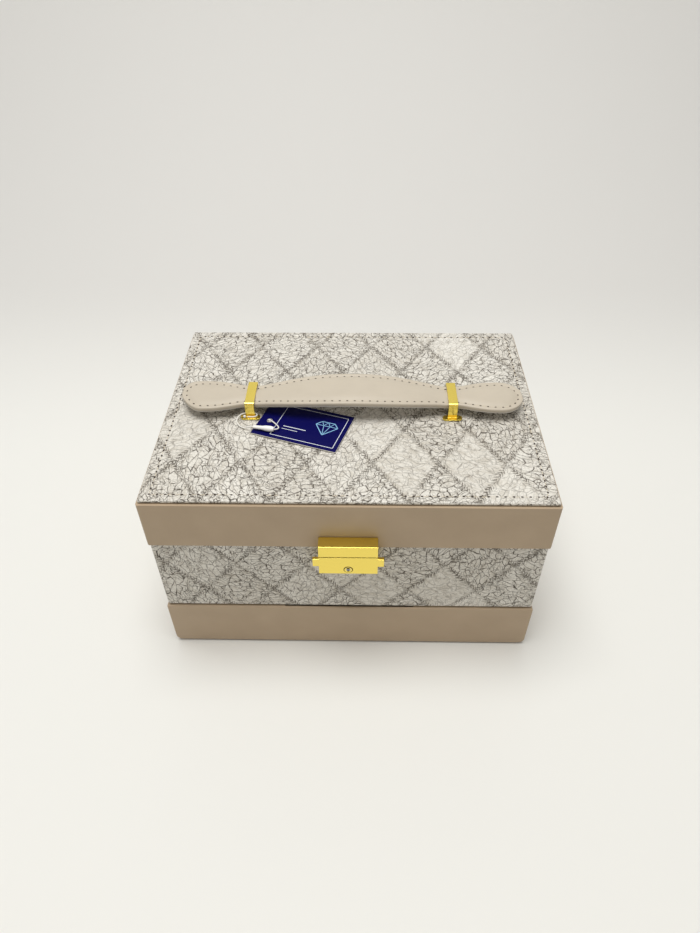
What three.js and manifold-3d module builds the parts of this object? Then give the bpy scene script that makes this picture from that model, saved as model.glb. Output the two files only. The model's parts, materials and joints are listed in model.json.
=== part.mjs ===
// Jewellery chest: a leatherette-covered case with a hinged, mirrored lid, a padded carrying handle,
// a push lock, a lift-out tray with ring rolls, and a full-width drawer in its base.
// Millimetres, +Z up, the front faces -Y. The origin is on the table under the middle of the chest.
import * as THREE from "three";
import { mergeVertices } from "three/addons/utils/BufferGeometryUtils.js";
import Module from "manifold-3d";

const wasm = await Module();
wasm.setup();

// ---------------------------------------------------------------- driving dimensions

// Case
const BOX_W = 230; // across the lid and the plinth
const BOX_D = 172; // front to back of the lid and the plinth
const FELT_T = 1;
const PLINTH_H = 37;
const BAND_H = 57; // crackle-covered middle of the case
const LID_SIDE_H = 32.6;
const TOP_PANEL_T = 2;
const PLINTH_WALL = 7;
const BAND_WALL = 4;
const LID_WALL = 4.5;
const LID_TOP_T = 2.6;
const BASE_T = 3;
const FLOOR_T = 3; // board between the drawer and the compartment
const EDGE_R = 1.5; // wrapped upright edges
const PLINTH_CORNER_R = 4; // lower front corners of the drawer front

// Setbacks and clearances
const GLUE = 0.3; // between pieces that touch
const SLIDE = 0.7; // round a tray or a drawer
const SHADOW_GAP = 1; // between the drawer front and the band
const LID_GAP = 0.7;
const BAND_INSET = 1.1;
const PANEL_INSET = 0.7;

// Inside of the case
const LINING_T = 1.2;
const PAD_T = 2.3;
const LIP_WALL = 2.5;
const LIP_RISE = 7.2; // how far the inner lip stands up into the lid
const LIP_PLAY = 0.4;
const LEDGE_W = 5.8;
const LEDGE_T = 3.7;
const LEDGE_PLAY = 0.4; // over the lower divider
const TRAY_H = 25;
const TRAY_RIM_DROP = 5.3; // from the band's top edge to the tray's rim
const TRAY_WALL = 2.5;
const TRAY_FLOOR = 2;
const TRAY_SPLIT_X = -10; // the ring rolls lie to the left of it
const DIVIDER_T = 2.5;
const DIVIDER_DROP = 3; // below the rim of what it divides
const ROLL_COUNT = 8;
const ROLL_BASE = 4;
const ROLL_GAP = 0.8;
const PULL_W = 14;
const PULL_H = 13;
const PULL_T = 0.8;
const PULL_ABOVE = 6; // above the tray's rim

// Mirror
const MIRROR_W = 150;
const MIRROR_D = 104;
const MIRROR_T = 1.8;
const MIRROR_LIP = 2;
const MIRROR_FRAME_W = 5;
const MIRROR_FRAME_LIP_T = 1;

// Drawer
const FRONT_T = 3.9;
const DRAWER_BACK_PLAY = 2.3;
const DRAWER_HEADROOM = 5.1;
const DRAWER_WALL = 3;
const DRAWER_FLOOR = 2.5;
const DRAWER_DIVIDERS = 2;
const NAIL_GROOVE_W = 80;
const NAIL_GROOVE_D = 2.3;
const NAIL_GROOVE_H = 4;

// Hinges
const HINGE_X = 68;
const HINGE_W = 24;
const HINGE_R = 3.9;
const HINGE_PIN_R = 1.8;
const HINGE_BORE_R = 1.86;
const HINGE_OUT = 4.3; // from the back of the case to the pin's axis
const LEAF_T = 0.8;
const LEAF_H = 9;
const KNUCKLE_W = 7.8; // middle knuckle
const KNUCKLE_PLAY = 0.3;
const SCREW_SPAN = 14;
const SCREW_R = 0.8;
const SCREW_HEAD_R = 1.7;
const SCREW_HEAD_T = 0.6;
const SCREW_DEPTH = 3;
const SCREW_HOLE_R = 1.1;
const ROUND = 24; // facets on small round pieces

// Lock
const LOCK_W = 33.5;
const LOCK_OUT = 8; // from the lid's front face
const LOCK_CASE_H = 13.9;
const STRIKE_H = 8.5;
const LOCK_GAP = 0.4;
const LOCK_WALL = 0.8;
const EAR_OUT = 3.6;
const EAR_H = 6.2;
const EAR_T = 2.2;
const SLIDER_T = 1;
const SLIDER_TRAVEL = 2.5;
const TONGUE_W = 8;
const TONGUE_T = 1;
const TONGUE_REACH = 6.8; // below the top of the case
const PLUG_R = 2.6;
const PLUG_BORE_R = 2.7;
const PLUG_Z = 3.6; // above the bottom of the lock
const SLIDER_Z = 5; // above the bottom of the lock
const PLUG_PROUD = 0.2;
const PLUG_T = 1.5;
const SPRING_X = 9;
const SPRING_R = 1;
const SPRING_WIRE_R = 0.2;
const SPRING_TURNS = 3;

// Handle
const HANDLE_X = 0.6;
const HANDLE_Y = -1;
const LOOP_HALF_SPAN = 61.65;
const BULB_L = 43.85; // from a loop to the strap's tip
const ARCH_CLEAR = 4.65; // flat stretch inside each loop
const HANDLE_CLEAR = 5.4; // under the strap at its ends
const HANDLE_ARCH = 5.3; // how much higher the middle stands
const STRAP_T = 3;
const STRAP_LINING_T = 1;
const LOOP_Y = -1.5;
const LOOP_W = 5.6;
const LOOP_T = 1;
const LOOP_DEPTH = 23.4;
const LOOP_H = 11;
const LOOP_R = 1.6;
const FOOT_W = 12;
const FOOT_D = 4.6;
const FOOT_T = 1;
const STRAP_MIDDLE_R = 15.4; // half the strap's width in its middle
// Half widths of the strap, at distances from a loop.
const STRAP_EDGE = [
  [-43.6, 14.9], [-27.6, 13.2], [-15.6, 11.2], [-7.6, 9.9], [0, 9.4],
  [5.4, 9.8], [13.4, 12], [21.4, 13.7], [29.4, 14.2],
];

// Tag
const TAG_W = 54;
const TAG_D = 34;
const TAG_T = 0.6;
const TAG_LIFT = 0.5;
const TAG_FROM_LOOP = [32.8, -19.5];
const TAG_TURN = THREE.MathUtils.degToRad(-18.7);
const TAG_HOLE = [-20.8, -2.7]; // in the tag's own plane
const TAG_HOLE_R = 1.9;
const THREAD_R = 0.4;
const SEAL_R = 1.7;
const SEAL_L = 12.6;
const SEAL_BORE_R = 0.75;
const KNOT_R = 0.95;

// ---------------------------------------------------------------- levels and faces

const plinthZ = [FELT_T + GLUE, FELT_T + GLUE + PLINTH_H];
const bandZ = [plinthZ[1] + SHADOW_GAP, plinthZ[1] + SHADOW_GAP + BAND_H];
const lidZ = [bandZ[1] + LID_GAP, bandZ[1] + LID_GAP + LID_SIDE_H];
const panelZ = [lidZ[1] + GLUE, lidZ[1] + GLUE + TOP_PANEL_T];
const top = panelZ[1];

const halfW = BOX_W / 2;
const halfD = BOX_D / 2;
const bandHalfW = halfW - BAND_INSET;
const bandFront = -halfD + BAND_INSET;
const cavityX = bandHalfW - BAND_WALL; // inner faces of the band's walls
const cavityY = [bandFront + BAND_WALL, halfD - BAND_WALL];
const bayX = halfW - PLINTH_WALL; // inner faces of the plinth
const bayBack = halfD - PLINTH_WALL;
const frontBack = -halfD + FRONT_T; // back of the drawer front
const bodyFront = frontBack + GLUE;
const floorZ = [plinthZ[1] + GLUE, plinthZ[1] + GLUE + FLOOR_T];
const lidInX = halfW - LID_WALL;
const lidInY = halfD - LID_WALL;
const ceiling = lidZ[1] - LID_TOP_T;
const lipOutX = lidInX - GLUE - LINING_T - LIP_PLAY;
const lipOutY = lidInY - GLUE - LINING_T - LIP_PLAY;
const lipInX = lipOutX - LIP_WALL;
const lipInY = lipOutY - LIP_WALL;
const lipTop = bandZ[1] + LIP_RISE;
const compartmentFloor = floorZ[1] + GLUE + LINING_T;
const trayX = lipInX - SLIDE;
const trayY = lipInY - SLIDE;
const trayInX = trayX - TRAY_WALL;
const trayInY = trayY - TRAY_WALL;
const trayRim = bandZ[1] - TRAY_RIM_DROP;
const traySeat = trayRim - TRAY_H;
const trayFloor = traySeat + TRAY_FLOOR;
const ledgeZ = [traySeat - GLUE - LEDGE_T, traySeat - GLUE];
const hinge = { y: halfD + HINGE_OUT, z: (bandZ[1] + lidZ[0]) / 2 };
const lockFront = -halfD - LOCK_OUT;
const lockX = LOCK_W / 2;
const caseZ = [lidZ[0] - LOCK_GAP + GLUE - LOCK_CASE_H, lidZ[0] - LOCK_GAP + GLUE];
const strikeZ = [caseZ[1] + LOCK_GAP, caseZ[1] + LOCK_GAP + STRIKE_H];
const lockInner = lockFront + LOCK_WALL; // back of the lock's front wall
const plugBack = lockFront - PLUG_PROUD + PLUG_T;
const sliderY = [plugBack + GLUE, plugBack + GLUE + SLIDER_T];
const tongueY = [sliderY[1] + GLUE, sliderY[1] + GLUE + TONGUE_T];
const sliderZ = [caseZ[0] + SLIDER_Z, caseZ[0] + SLIDER_Z + EAR_H];
const strapLow = top + HANDLE_CLEAR;
const handleHalfL = LOOP_HALF_SPAN + BULB_L;
const loopX = { left: HANDLE_X - LOOP_HALF_SPAN, right: HANDLE_X + LOOP_HALF_SPAN };
const legY = [LOOP_Y - LOOP_DEPTH / 2, LOOP_Y + LOOP_DEPTH / 2]; // outer faces of a loop's legs
const tagAt = [loopX.left + TAG_FROM_LOOP[0], LOOP_Y + TAG_FROM_LOOP[1]];

// ---------------------------------------------------------------- finishes

const finish = (color, roughness, metalness = 0) =>
  new THREE.MeshStandardMaterial({ color, roughness, metalness });
const crackle = finish(0xd5d2c9, 0.6);
const smooth = finish(0xb0a08c, 0.5);
const strapLeather = finish(0xd8ccb8, 0.45);
const paleLining = finish(0xe6e3dc, 0.6);
const velvet = finish(0xcfc4b2, 0.95);
const felt = finish(0x5b544c, 1);
const gold = finish(0xf0d24a, 0.2, 1);
const steel = finish(0xa8a8a8, 0.35, 1);
const glass = finish(0xe8eef0, 0.03, 1);
const card = finish(0x03014a, 0.4);
const white = finish(0xf2f2ee, 0.5);
const board = finish(0xa98f6d, 0.9);

// ---------------------------------------------------------------- shape helpers

const span = (half) => [-half, half];

function block([x0, x1], [y0, y1], [z0, z1]) {
  const geometry = new THREE.BoxGeometry(x1 - x0, y1 - y0, z1 - z0);
  return geometry.translate((x0 + x1) / 2, (y0 + y1) / 2, (z0 + z1) / 2);
}

// A rectangle whose four corners have the given radii: low left, low right, high right, high left.
function roundedRect([x0, x1], [y0, y1], radii) {
  const [a, b, c, d] = radii;
  const shape = new THREE.Shape();
  shape.moveTo(x0 + a, y0).lineTo(x1 - b, y0);
  shape.absarc(x1 - b, y0 + b, b, -Math.PI / 2, 0);
  shape.lineTo(x1, y1 - c).absarc(x1 - c, y1 - c, c, 0, Math.PI / 2);
  shape.lineTo(x0 + d, y1).absarc(x0 + d, y1 - d, d, Math.PI / 2, Math.PI);
  shape.lineTo(x0, y0 + a).absarc(x0 + a, y0 + a, a, Math.PI, Math.PI * 1.5);
  return shape;
}

// Prisms of a shape drawn in plan, in front view (x, z) or in side view (y, z).
function prism(shape, [from, to], axes, curveSegments = 4) {
  const options = { depth: to - from, bevelEnabled: false, curveSegments };
  const geometry = new THREE.ExtrudeGeometry(shape, options);
  const [u, v, w] = axes.map((axis) => new THREE.Vector3(...axis));
  return geometry.applyMatrix4(new THREE.Matrix4().makeBasis(u, v, w));
}
const inPlan = (shape, z, segments) =>
  prism(shape, z, [[1, 0, 0], [0, 1, 0], [0, 0, 1]], segments).translate(0, 0, z[0]);
const inFront = (shape, y, segments) =>
  prism(shape, y, [[1, 0, 0], [0, 0, 1], [0, -1, 0]], segments).translate(0, y[1], 0);
const inSide = (shape, x, segments) =>
  prism(shape, x, [[0, 1, 0], [0, 0, 1], [1, 0, 0]], segments).translate(x[0], 0, 0);

const rod = (radius, [y0, y1], sides = ROUND) =>
  new THREE.CylinderGeometry(radius, radius, y1 - y0, sides).translate(0, (y0 + y1) / 2, 0);
const rodX = (radius, [x0, x1]) => rod(radius, [x0, x1]).rotateZ(-Math.PI / 2);

function solid(geometry) {
  const bare = geometry.clone();
  bare.deleteAttribute("normal");
  bare.deleteAttribute("uv");
  const merged = mergeVertices(bare, 1e-4);
  const vertProperties = new Float32Array(merged.attributes.position.array);
  const triVerts = new Uint32Array(merged.index.array);
  return new wasm.Manifold(new wasm.Mesh({ numProp: 3, vertProperties, triVerts }));
}

function surface(made) {
  const mesh = made.getMesh();
  const geometry = new THREE.BufferGeometry();
  geometry.setAttribute("position", new THREE.BufferAttribute(mesh.vertProperties, 3));
  geometry.setIndex(new THREE.BufferAttribute(mesh.triVerts, 1));
  geometry.computeVertexNormals();
  return geometry;
}

const cut = (body, ...tools) =>
  surface(tools.reduce((rest, tool) => rest.subtract(solid(tool)), solid(body)));
const join = (...pieces) =>
  surface(pieces.map(solid).reduce((sum, piece) => sum.add(piece)));
const common = (a, b) => surface(solid(a).intersect(solid(b)));

// ---------------------------------------------------------------- scene graph

const chest = new THREE.Group();
const lid = new THREE.Group();
const handle = new THREE.Group();
const tray = new THREE.Group();
const drawer = new THREE.Group();
const part = new THREE.Group();
part.add(chest, lid, handle, tray, drawer);

function add(group, name, geometry, material, position = [0, 0, 0]) {
  const mesh = new THREE.Mesh(geometry, material);
  mesh.name = name;
  mesh.position.set(...position);
  group.add(mesh);
  return mesh;
}

const sides = [
  ["left", -1],
  ["right", 1],
];
const across = (sign, near, far) => (sign < 0 ? [-far, -near] : [near, far]);

// ---------------------------------------------------------------- case

function buildPlinth() {
  const baseZ = [plinthZ[0], plinthZ[0] + BASE_T];
  const feltInset = 9;
  add(chest, "base_felt", block(span(halfW - feltInset), span(halfD - feltInset), [0, FELT_T]), felt);
  add(chest, "base_board", block(span(bayX - GLUE), [bodyFront, bayBack - GLUE], baseZ), board);
  for (const [side, sign] of sides) {
    const outline = roundedRect(
      across(sign, bayX, halfW), [bodyFront, halfD], sign < 0 ? [0, 0, 0, EDGE_R] : [0, 0, EDGE_R, 0],
    );
    add(chest, `plinth_${side}`, inPlan(outline, plinthZ), smooth);
  }
  add(chest, "plinth_back", block(span(bayX - GLUE), [bayBack, halfD], plinthZ), smooth);
}

// Pilot holes for the screws of both hinges, at height z.
const screwHoles = (z) =>
  sides.flatMap(([, hingeSide]) =>
    sides.map(([, screwSide]) =>
      rod(SCREW_HOLE_R, [-SCREW_DEPTH - 1, 1])
        .translate(hingeSide * HINGE_X + (screwSide * SCREW_SPAN) / 2, halfD, z),
    ),
  );
const leafMiddle = HINGE_R + KNUCKLE_PLAY + LEAF_H / 2; // from the hinge's axis to its screws

function buildBand() {
  const front = roundedRect(span(bandHalfW), [bandFront, cavityY[0]], [EDGE_R, EDGE_R, 0, 0]);
  const back = block(span(bandHalfW), [cavityY[1], halfD], bandZ);
  add(chest, "front_panel", inPlan(front, bandZ), crackle);
  add(chest, "back_panel", cut(back, ...screwHoles(hinge.z - leafMiddle)), crackle);
  const sideY = [cavityY[0] + GLUE, cavityY[1] - GLUE];
  for (const [side, sign] of sides)
    add(chest, `side_panel_${side}`, block(across(sign, cavityX, bandHalfW), sideY, bandZ), crackle);
  add(chest, "compartment_floor", block(span(cavityX - GLUE), sideY, floorZ), board);
}

// The velvet frame that lines the compartment and stands up into the closed lid.
function buildInnerLip() {
  const low = floorZ[1] + GLUE;
  const lower = block(span(cavityX - GLUE), [cavityY[0] + GLUE, cavityY[1] - GLUE], [low, bandZ[1] - GLUE]);
  const upper = block(span(lipOutX), span(lipOutY), [bandZ[1] - 2 * GLUE, lipTop]);
  const hollow = block(span(lipInX), span(lipInY), [low - 1, lipTop + 1]);
  add(chest, "inner_lip", cut(join(lower, upper), hollow), velvet);
  for (const [side, sign] of sides) {
    const x = across(sign, lipInX - GLUE - LEDGE_W, lipInX - GLUE);
    add(chest, `tray_ledge_${side}`, block(x, span(lipInY - 2 * GLUE), ledgeZ), velvet);
  }
}

function buildCompartment() {
  const inX = lipInX - GLUE;
  const inY = lipInY - GLUE;
  add(chest, "lower_lining", block(span(inX), span(inY), [floorZ[1] + GLUE, compartmentFloor]), velvet);
  const z = [compartmentFloor + GLUE, ledgeZ[0] - LEDGE_PLAY];
  const along = block(span(inX), span(DIVIDER_T / 2), z);
  const forward = block(span(DIVIDER_T / 2), [-inY, 0], z);
  add(chest, "lower_divider", join(along, forward), velvet);
}

// ---------------------------------------------------------------- lid

// Slots in the lid for the legs of both handle loops, through the heights z.
const legSlots = (z) =>
  Object.values(loopX).flatMap((x) =>
    [legY[0], legY[1] - LOOP_T].map((y) =>
      block([x - LOOP_W / 2 - GLUE, x + LOOP_W / 2 + GLUE], [y - GLUE, y + LOOP_T + GLUE], z),
    ),
  );

function buildLid() {
  const shell = inPlan(roundedRect(span(halfW), span(halfD), Array(4).fill(EDGE_R)), lidZ);
  const hollow = block(span(lidInX), span(lidInY), [lidZ[0] - 1, ceiling]);
  const holes = screwHoles(hinge.z + leafMiddle);
  add(lid, "lid_frame", cut(shell, hollow, ...legSlots([ceiling - 1, lidZ[1] + 1]), ...holes), smooth);

  const panelX = span(halfW - PANEL_INSET);
  const panel = inPlan(roundedRect(panelX, span(halfD - PANEL_INSET), Array(4).fill(EDGE_R)), panelZ);
  add(lid, "lid_top_panel", cut(panel, ...legSlots([panelZ[0] - 1, top + 1])), crackle);

  const liningTop = ceiling - GLUE;
  const lining = block(span(lidInX - GLUE), span(lidInY - GLUE), [lidZ[0] + GLUE, liningTop]);
  const room = block(
    span(lidInX - GLUE - LINING_T), span(lidInY - GLUE - LINING_T), [lidZ[0] - 1, liningTop - PAD_T],
  );
  add(lid, "lid_lining", cut(lining, room), velvet);

  const glassTop = liningTop - PAD_T - GLUE;
  const glassZ = [glassTop - MIRROR_T, glassTop];
  const [mirrorX, mirrorY] = [MIRROR_W / 2, MIRROR_D / 2];
  add(lid, "mirror", block(span(mirrorX), span(mirrorY), glassZ), glass);
  const outer = block(
    span(mirrorX + MIRROR_FRAME_W), span(mirrorY + MIRROR_FRAME_W),
    [glassZ[0] - GLUE - MIRROR_FRAME_LIP_T, glassTop],
  );
  const opening = block(
    span(mirrorX - MIRROR_LIP), span(mirrorY - MIRROR_LIP), [glassZ[0] - 3 * MIRROR_T, glassTop + 1],
  );
  const rebate = block(span(mirrorX + GLUE), span(mirrorY + GLUE), [glassZ[0] - GLUE, glassTop + 1]);
  add(lid, "mirror_frame", cut(outer, opening, rebate), gold);
}

// ---------------------------------------------------------------- hinges

// A leaf in the hinge's own frame: the pin's axis runs along x through the origin.
// up is 1 for the lid's leaf.
function hingeLeaf(up, knuckles) {
  const reach = HINGE_R + KNUCKLE_PLAY;
  const y = [-HINGE_OUT + GLUE, -HINGE_OUT + GLUE + LEAF_T];
  const plateZ = across(up, reach, reach + LEAF_H);
  const plate = block(span(HINGE_W / 2), y, plateZ);
  const webs = knuckles.map((x) => block(x, y, across(up, 0, reach + 1)));
  const barrels = knuckles.map((x) => rodX(HINGE_R, x));
  const bores = knuckles.map(([x0, x1]) => rodX(HINGE_BORE_R, [x0 - 1, x1 + 1]));
  const holes = sides.map(([, sign]) =>
    rod(SCREW_HOLE_R, [y[0] - 1, y[1] + 1]).translate((sign * SCREW_SPAN) / 2, 0, up * leafMiddle),
  );
  return cut(join(plate, ...webs, ...barrels), ...bores, ...holes);
}

function screw() {
  const headY = -HINGE_OUT + 2 * GLUE + LEAF_T;
  const head = rod(SCREW_HEAD_R, [headY, headY + SCREW_HEAD_T]);
  return join(head, rod(SCREW_R, [-HINGE_OUT - SCREW_DEPTH, headY + SCREW_HEAD_T / 2]));
}

function buildHinges() {
  const half = HINGE_W / 2;
  const inner = KNUCKLE_W / 2;
  const outerKnuckles = [
    [-half, -inner - KNUCKLE_PLAY],
    [inner + KNUCKLE_PLAY, half],
  ];
  const bodyLeaf = hingeLeaf(-1, outerKnuckles);
  const lidLeaf = hingeLeaf(1, [[-inner, inner]]);
  const pin = rodX(HINGE_PIN_R, span(half + 0.5));
  for (const [side, sign] of sides) {
    const at = [sign * HINGE_X, hinge.y, hinge.z];
    add(chest, `hinge_leaf_body_${side}`, bodyLeaf, gold, at);
    add(lid, `hinge_leaf_lid_${side}`, lidLeaf, gold, at);
    add(chest, `hinge_pin_${side}`, pin, gold, at);
    for (const [end, endSign] of sides) {
      const x = at[0] + (endSign * SCREW_SPAN) / 2;
      add(chest, `hinge_body_screw_${side}_${end}`, screw(), gold, [x, hinge.y, hinge.z - leafMiddle]);
      add(lid, `hinge_lid_screw_${side}_${end}`, screw(), gold, [x, hinge.y, hinge.z + leafMiddle]);
    }
  }
}

// ---------------------------------------------------------------- lock

function buildLock() {
  const caseBack = bandFront - GLUE;
  const plugZ = caseZ[0] + PLUG_Z;
  const shell = block(span(lockX), [lockFront, caseBack], caseZ);
  const room = block(
    span(lockX - LOCK_WALL), [lockInner, caseBack + 1], [caseZ[0] + LOCK_WALL, caseZ[1] - LOCK_WALL],
  );
  const tongueSlot = block(
    span(TONGUE_W / 2 + LOCK_GAP),
    [tongueY[0] - LOCK_GAP, caseBack + 1],
    [caseZ[1] - 2 * LOCK_WALL, caseZ[1] + 1],
  );
  const earMiddle = (sliderY[0] + sliderY[1]) / 2;
  const earY = [earMiddle - EAR_T / 2, earMiddle + EAR_T / 2];
  const earSlot = block(
    span(lockX + 1), [earY[0] - GLUE, earY[1] + GLUE], [sliderZ[0] - SLIDER_TRAVEL - GLUE, sliderZ[1] + GLUE],
  );
  const plugBore = rod(PLUG_BORE_R, [lockFront - 1, lockInner + 1], 32).translate(0, 0, plugZ);
  add(chest, "lock_case", cut(shell, room, tongueSlot, earSlot, plugBore), gold);

  const plate = block(span(lockX - LOCK_WALL - GLUE), sliderY, sliderZ);
  const ears = sides.map(([, sign]) =>
    block(across(sign, lockX - LOCK_WALL - 2 * GLUE, lockX + EAR_OUT), earY, sliderZ),
  );
  add(part, "lock_slider", join(plate, ...ears), gold);

  const barrel = rod(PLUG_R, [lockFront - PLUG_PROUD, plugBack], 32).translate(0, 0, plugZ);
  const keyway = [
    [0.85, 0.6, 1.7],
    [0.6, -1.6, -0.7],
  ].map(([half, z0, z1]) => {
    return block(span(half), [lockFront - 1, lockInner - LOCK_WALL / 2], [plugZ + z0, plugZ + z1]);
  });
  add(part, "key_plug", cut(barrel, ...keyway), gold);

  class Coil extends THREE.Curve {
    getPoint(t, target = new THREE.Vector3()) {
      const turn = t * SPRING_TURNS * 2 * Math.PI;
      const low = caseZ[0] + LOCK_WALL + GLUE + SPRING_WIRE_R;
      const high = sliderZ[0] - GLUE - SPRING_WIRE_R;
      return target.set(SPRING_R * Math.cos(turn), SPRING_R * Math.sin(turn), low + t * (high - low));
    }
  }
  const wire = new THREE.Shape().absarc(0, 0, SPRING_WIRE_R, 0, 2 * Math.PI);
  const coil = new THREE.ExtrudeGeometry(wire, {
    extrudePath: new Coil(), steps: SPRING_TURNS * 12, curveSegments: 6, bevelEnabled: false,
  });
  const springY = (lockInner + tongueY[0]) / 2 + GLUE / 2;
  for (const [side, sign] of sides)
    add(chest, `lock_spring_${side}`, coil, steel, [sign * SPRING_X, springY, 0]);

  const cover = block(span(lockX), [lockFront, -halfD - GLUE], strikeZ);
  const coverRoom = block(
    span(lockX - LOCK_WALL), [lockInner, -halfD], [strikeZ[0] + LOCK_WALL, strikeZ[1] - LOCK_WALL],
  );
  const coverSlot = block(
    span(TONGUE_W / 2 + GLUE), [tongueY[0] - GLUE, -halfD], [strikeZ[0] - 1, strikeZ[0] + 2 * LOCK_WALL],
  );
  add(lid, "lock_strike", cut(cover, coverRoom, coverSlot), gold);
  const tongueZ = [caseZ[1] - TONGUE_REACH, strikeZ[1] - LOCK_WALL - GLUE];
  const tongue = block(span(TONGUE_W / 2), tongueY, tongueZ);
  const noseY = [tongueY[0], tongueY[1] + TONGUE_T / 2];
  const nose = block(span(TONGUE_W / 2), noseY, [tongueZ[0], tongueZ[0] + TONGUE_T]);
  add(lid, "lock_tongue", join(tongue, nose), gold);
}

// ---------------------------------------------------------------- handle

// Underside of the strap, arched up in the middle.
function strapUnderside(x) {
  const u = Math.min(Math.abs(x) / (LOOP_HALF_SPAN - ARCH_CLEAR), 1);
  return strapLow + HANDLE_ARCH * Math.cos((Math.PI / 2) * u);
}

function strapLayer(from, to) {
  const shoulders = STRAP_EDGE.map(([x, y]) => new THREE.Vector2(LOOP_HALF_SPAN + x, y));
  const quarter = new THREE.SplineCurve([new THREE.Vector2(0, STRAP_MIDDLE_R), ...shoulders]).getPoints(24);
  const bulb = shoulders[shoulders.length - 1];
  const tipL = handleHalfL - bulb.x;
  const tip = new THREE.EllipseCurve(bulb.x, 0, tipL, bulb.y, Math.PI / 2, 0, true).getPoints(8);
  const edge = [...quarter, ...tip.slice(1)];
  const back = edge.slice(0, -1).map(({ x, y }) => new THREE.Vector2(x, -y));
  const right = [...edge, ...back.reverse()];
  const left = right.slice(1, -1).map(({ x, y }) => new THREE.Vector2(-x, y));
  const outline = new THREE.Shape([...right, ...left.reverse()]);
  const stations = Array.from({ length: 49 }, (_, i) => (i / 24 - 1) * (handleHalfL + 2));
  const low = stations.map((x) => new THREE.Vector2(x, strapUnderside(x) + from));
  const high = stations.map((x) => new THREE.Vector2(x, strapUnderside(x) + to));
  const slice = inFront(new THREE.Shape([...low, ...high.reverse()]), span(20));
  return common(inPlan(outline, [top, top + 40]), slice).translate(HANDLE_X, HANDLE_Y, 0);
}

function buildHandle() {
  add(handle, "handle_lining", strapLayer(0, STRAP_LINING_T), paleLining);
  const from = STRAP_LINING_T + GLUE;
  add(handle, "handle_strap", strapLayer(from, from + STRAP_T), strapLeather);

  const low = ceiling + GLUE;
  const high = top + LOOP_H;
  const outer = roundedRect(legY, [low, high], [0, 0, LOOP_R, LOOP_R]);
  const inner = roundedRect(
    [legY[0] + LOOP_T, legY[1] - LOOP_T], [low - 1, high - LOOP_T], [0, 0, LOOP_R - LOOP_T, LOOP_R - LOOP_T],
  );
  const strip = cut(inSide(outer, span(LOOP_W / 2)), inSide(inner, span(LOOP_W)));
  const footEnd = FOOT_D / 2;
  const feet = legY.map((y) =>
    inPlan(
      roundedRect(span(FOOT_W / 2), [y - footEnd, y + footEnd], Array(4).fill(footEnd - 0.01)),
      [top + GLUE, top + GLUE + FOOT_T],
    ),
  );
  const loop = join(strip, ...feet);
  for (const [side] of sides) add(lid, `handle_loop_${side}`, loop, gold, [loopX[side], 0, 0]);
}

// ---------------------------------------------------------------- tray

function openBox(x, y, [low, high], wall, floor) {
  const room = block([x[0] + wall, x[1] - wall], [y[0] + wall, y[1] - wall], [low + floor, high + 1]);
  return cut(block(x, y, [low, high]), room);
}

function buildTray() {
  const box = openBox(span(trayX), span(trayY), [traySeat, trayRim], TRAY_WALL, TRAY_FLOOR);
  add(tray, "tray_box", box, velvet);
  const z = [trayFloor + GLUE, trayRim - DIVIDER_DROP];
  const inY = trayInY - GLUE;
  const split = block([TRAY_SPLIT_X, TRAY_SPLIT_X + DIVIDER_T], span(inY), z);
  const branch = block([TRAY_SPLIT_X + 1, trayInX - GLUE], span(DIVIDER_T / 2), z);
  add(tray, "tray_divider", join(split, branch), velvet);

  const pitch = (2 * inY) / ROLL_COUNT;
  const rollR = (pitch - ROLL_GAP) / 2;
  const profile = new THREE.Shape().moveTo(-inY, 0).lineTo(inY, 0).lineTo(inY, ROLL_BASE);
  for (let i = ROLL_COUNT - 1; i >= 0; i--)
    profile.absarc(-inY + (i + 0.5) * pitch, ROLL_BASE, rollR, 0, Math.PI);
  profile.lineTo(-inY, ROLL_BASE);
  const pullRoom = PULL_T + 3 * GLUE;
  const rollX = [-trayInX + pullRoom, TRAY_SPLIT_X - GLUE];
  add(tray, "ring_cushion", inSide(profile, rollX, 6), velvet, [0, 0, trayFloor + GLUE]);

  const pullTop = trayRim + PULL_ABOVE;
  for (const [side, sign] of sides) {
    const x = across(sign, trayInX - GLUE - PULL_T, trayInX - GLUE);
    const y = side === "right" ? [DIVIDER_T, DIVIDER_T + PULL_W] : span(PULL_W / 2);
    add(tray, `tray_pull_${side}`, block(x, y, [pullTop - PULL_H, pullTop]), velvet);
  }
}

// ---------------------------------------------------------------- drawer

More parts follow.
